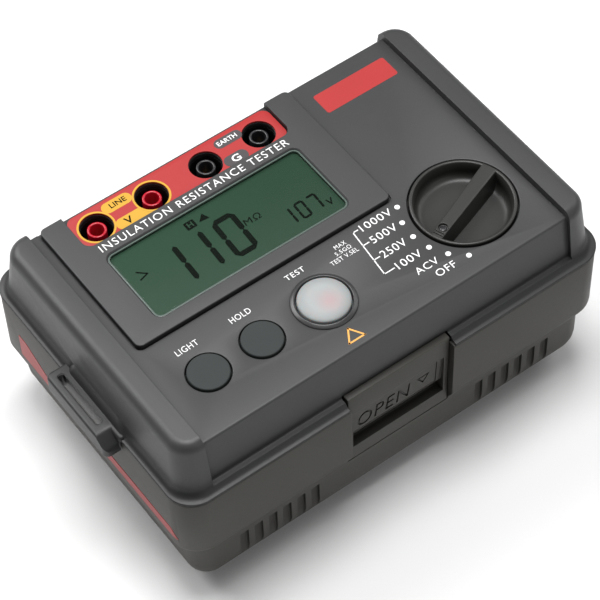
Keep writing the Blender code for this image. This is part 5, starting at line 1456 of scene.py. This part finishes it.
def area_light(name, place, size, power, height=0.03):
    """A soft light aimed at a height above the origin."""
    data = bpy.data.lights.new(name, "AREA")
    data.shape = "RECTANGLE"
    data.size, data.size_y = size
    data.energy = power
    light = bpy.data.objects.new(name, data)
    light.location = place
    aim = Vector((0.0, 0.0, height)) - Vector(place)
    light.rotation_euler = aim.to_track_quat("-Z", "Y").to_euler()
    bpy.context.scene.collection.objects.link(light)


def build_floor():
    """A large plain floor under the object."""
    bm = bmesh.new()
    bmesh.ops.create_grid(bm, x_segments=1, y_segments=1, size=4.0)
    mesh = bpy.data.meshes.new("floor")
    bm.to_mesh(mesh)
    bm.free()
    mesh.materials.append(floor_finish())
    floor = bpy.data.objects.new("floor", mesh)
    bpy.context.scene.collection.objects.link(floor)


def build_camera():
    """A long lens above the front left corner."""
    data = bpy.data.cameras.new("camera")
    data.lens = 145.39
    data.sensor_width = 36.0
    data.clip_start = 0.02
    camera = bpy.data.objects.new("camera", data)
    camera.location = (-0.24048, -0.34888, 0.61188)
    camera.rotation_euler = [math.radians(angle) for angle in (36.245, 1.319, -36.388)]
    bpy.context.scene.collection.objects.link(camera)
    bpy.context.scene.camera = camera


def build_stage():
    """Floor, studio lights and camera."""
    build_floor()
    world = bpy.data.worlds.new("studio")
    world.use_nodes = True
    background = world.node_tree.nodes["Background"]
    background.inputs["Color"].default_value = (1.0, 1.0, 1.0, 1.0)
    background.inputs["Strength"].default_value = 0.2
    scene = bpy.context.scene
    scene.world = world
    scene.view_settings.view_transform = "Standard"
    area_light("back_light", (-0.35, 0.90, 1.00), (0.8, 0.8), 14.0)
    area_light("top_light", (0.06, 0.12, 1.35), (0.6, 0.6), 16.5)
    area_light("front_light", (0.35, -1.10, 0.75), (1.0, 0.7), 2.0)
    area_light("right_light", (1.10, 0.10, 0.90), (0.8, 0.8), 4.5, 0.02)
    build_camera()


# ---------------------------------------------------------------- operators
class TESTER_OT_front_shell(bpy.types.Operator):
    """Build the upper housing with its strap lugs"""

    bl_idname = "tester.front_shell"
    bl_label = "Front shell"
    bl_options = {"REGISTER", "UNDO"}

    def execute(self, context):
        build_front_shell(context.scene.tester_sizes)
        return {"FINISHED"}


class TESTER_OT_tray(bpy.types.Operator):
    """Build the tray, its inlays and its feet"""

    bl_idname = "tester.tray"
    bl_label = "Storage tray"
    bl_options = {"REGISTER", "UNDO"}

    def execute(self, context):
        build_tray(context.scene.tester_sizes)
        return {"FINISHED"}


class TESTER_OT_latch(bpy.types.Operator):
    """Build the latch with its finger pull"""

    bl_idname = "tester.latch"
    bl_label = "Latch"
    bl_options = {"REGISTER", "UNDO"}

    def execute(self, context):
        build_latch(context.scene.tester_sizes)
        return {"FINISHED"}


class TESTER_OT_display(bpy.types.Operator):
    """Build the display, its surround and its reading"""

    bl_idname = "tester.display"
    bl_label = "Display"
    bl_options = {"REGISTER", "UNDO"}

    def execute(self, context):
        build_display(context.scene.tester_sizes)
        return {"FINISHED"}


class TESTER_OT_terminals(bpy.types.Operator):
    """Build the label and the four sockets"""

    bl_idname = "tester.terminals"
    bl_label = "Terminals"
    bl_options = {"REGISTER", "UNDO"}

    def execute(self, context):
        build_terminals(context.scene.tester_sizes)
        return {"FINISHED"}


class TESTER_OT_keys(bpy.types.Operator):
    """Build the three keys and the collar"""

    bl_idname = "tester.keys"
    bl_label = "Keys"
    bl_options = {"REGISTER", "UNDO"}

    def execute(self, context):
        build_keys(context.scene.tester_sizes)
        return {"FINISHED"}


class TESTER_OT_springs(bpy.types.Operator):
    """Build the key springs"""

    bl_idname = "tester.springs"
    bl_label = "Springs"
    bl_options = {"REGISTER", "UNDO"}

    def execute(self, context):
        build_springs(context.scene.tester_sizes)
        return {"FINISHED"}


class TESTER_OT_selector(bpy.types.Operator):
    """Build the knob and its pointer"""

    bl_idname = "tester.selector"
    bl_label = "Selector"
    bl_options = {"REGISTER", "UNDO"}

    def execute(self, context):
        build_selector(context.scene.tester_sizes)
        return {"FINISHED"}


class TESTER_OT_panel_print(bpy.types.Operator):
    """Print the panel"""

    bl_idname = "tester.panel_print"
    bl_label = "Panel print"
    bl_options = {"REGISTER", "UNDO"}

    def execute(self, context):
        build_print(context.scene.tester_sizes)
        return {"FINISHED"}


class TESTER_OT_inside(bpy.types.Operator):
    """Give the frame's own nodes their finishes"""

    bl_idname = "tester.inside"
    bl_label = "Inside"
    bl_options = {"REGISTER", "UNDO"}

    def execute(self, context):
        paint_inside(context.scene.tester_sizes)
        return {"FINISHED"}


class TESTER_OT_stage(bpy.types.Operator):
    """Build the floor, the lights and the camera"""

    bl_idname = "tester.stage"
    bl_label = "Stage"
    bl_options = {"REGISTER", "UNDO"}

    def execute(self, context):
        build_stage()
        return {"FINISHED"}


OPERATORS = [
    TESTER_OT_front_shell,
    TESTER_OT_tray,
    TESTER_OT_latch,
    TESTER_OT_display,
    TESTER_OT_terminals,
    TESTER_OT_keys,
    TESTER_OT_springs,
    TESTER_OT_selector,
    TESTER_OT_panel_print,
    TESTER_OT_inside,
    TESTER_OT_stage,
]


class TESTER_PT_panel(bpy.types.Panel):
    """Sizes, colours and builders of the tester."""

    bl_idname = "TESTER_PT_panel"
    bl_label = "Insulation resistance tester"
    bl_space_type = "VIEW_3D"
    bl_region_type = "UI"
    bl_category = "Tester"

    def draw(self, context):
        for group in (context.scene.tester_sizes, context.scene.tester_colours):
            column = self.layout.column(align=True)
            for name in group.bl_rna.properties.keys():
                if name not in {"rna_type", "name"}:
                    column.prop(group, name)
        column = self.layout.column()
        for operator in OPERATORS:
            column.operator(operator.bl_idname)


CLASSES = [TesterSizes, TesterColours, *OPERATORS, TESTER_PT_panel]


def register():
    """Add the classes and the settings they use."""
    for item in CLASSES:
        bpy.utils.register_class(item)
    bpy.types.Scene.tester_sizes = PointerProperty(type=TesterSizes)
    bpy.types.Scene.tester_colours = PointerProperty(type=TesterColours)


def unregister():
    """Take the settings and the classes away again."""
    del bpy.types.Scene.tester_colours
    del bpy.types.Scene.tester_sizes
    for item in reversed(CLASSES):
        bpy.utils.unregister_class(item)


def main():
    """Build everything, in order."""
    register()
    bpy.ops.tester.front_shell()
    bpy.ops.tester.tray()
    bpy.ops.tester.latch()
    bpy.ops.tester.display()
    bpy.ops.tester.terminals()
    bpy.ops.tester.keys()
    bpy.ops.tester.springs()
    bpy.ops.tester.selector()
    bpy.ops.tester.panel_print()
    bpy.ops.tester.inside()
    bpy.ops.tester.stage()


if __name__ == "__main__":
    main()
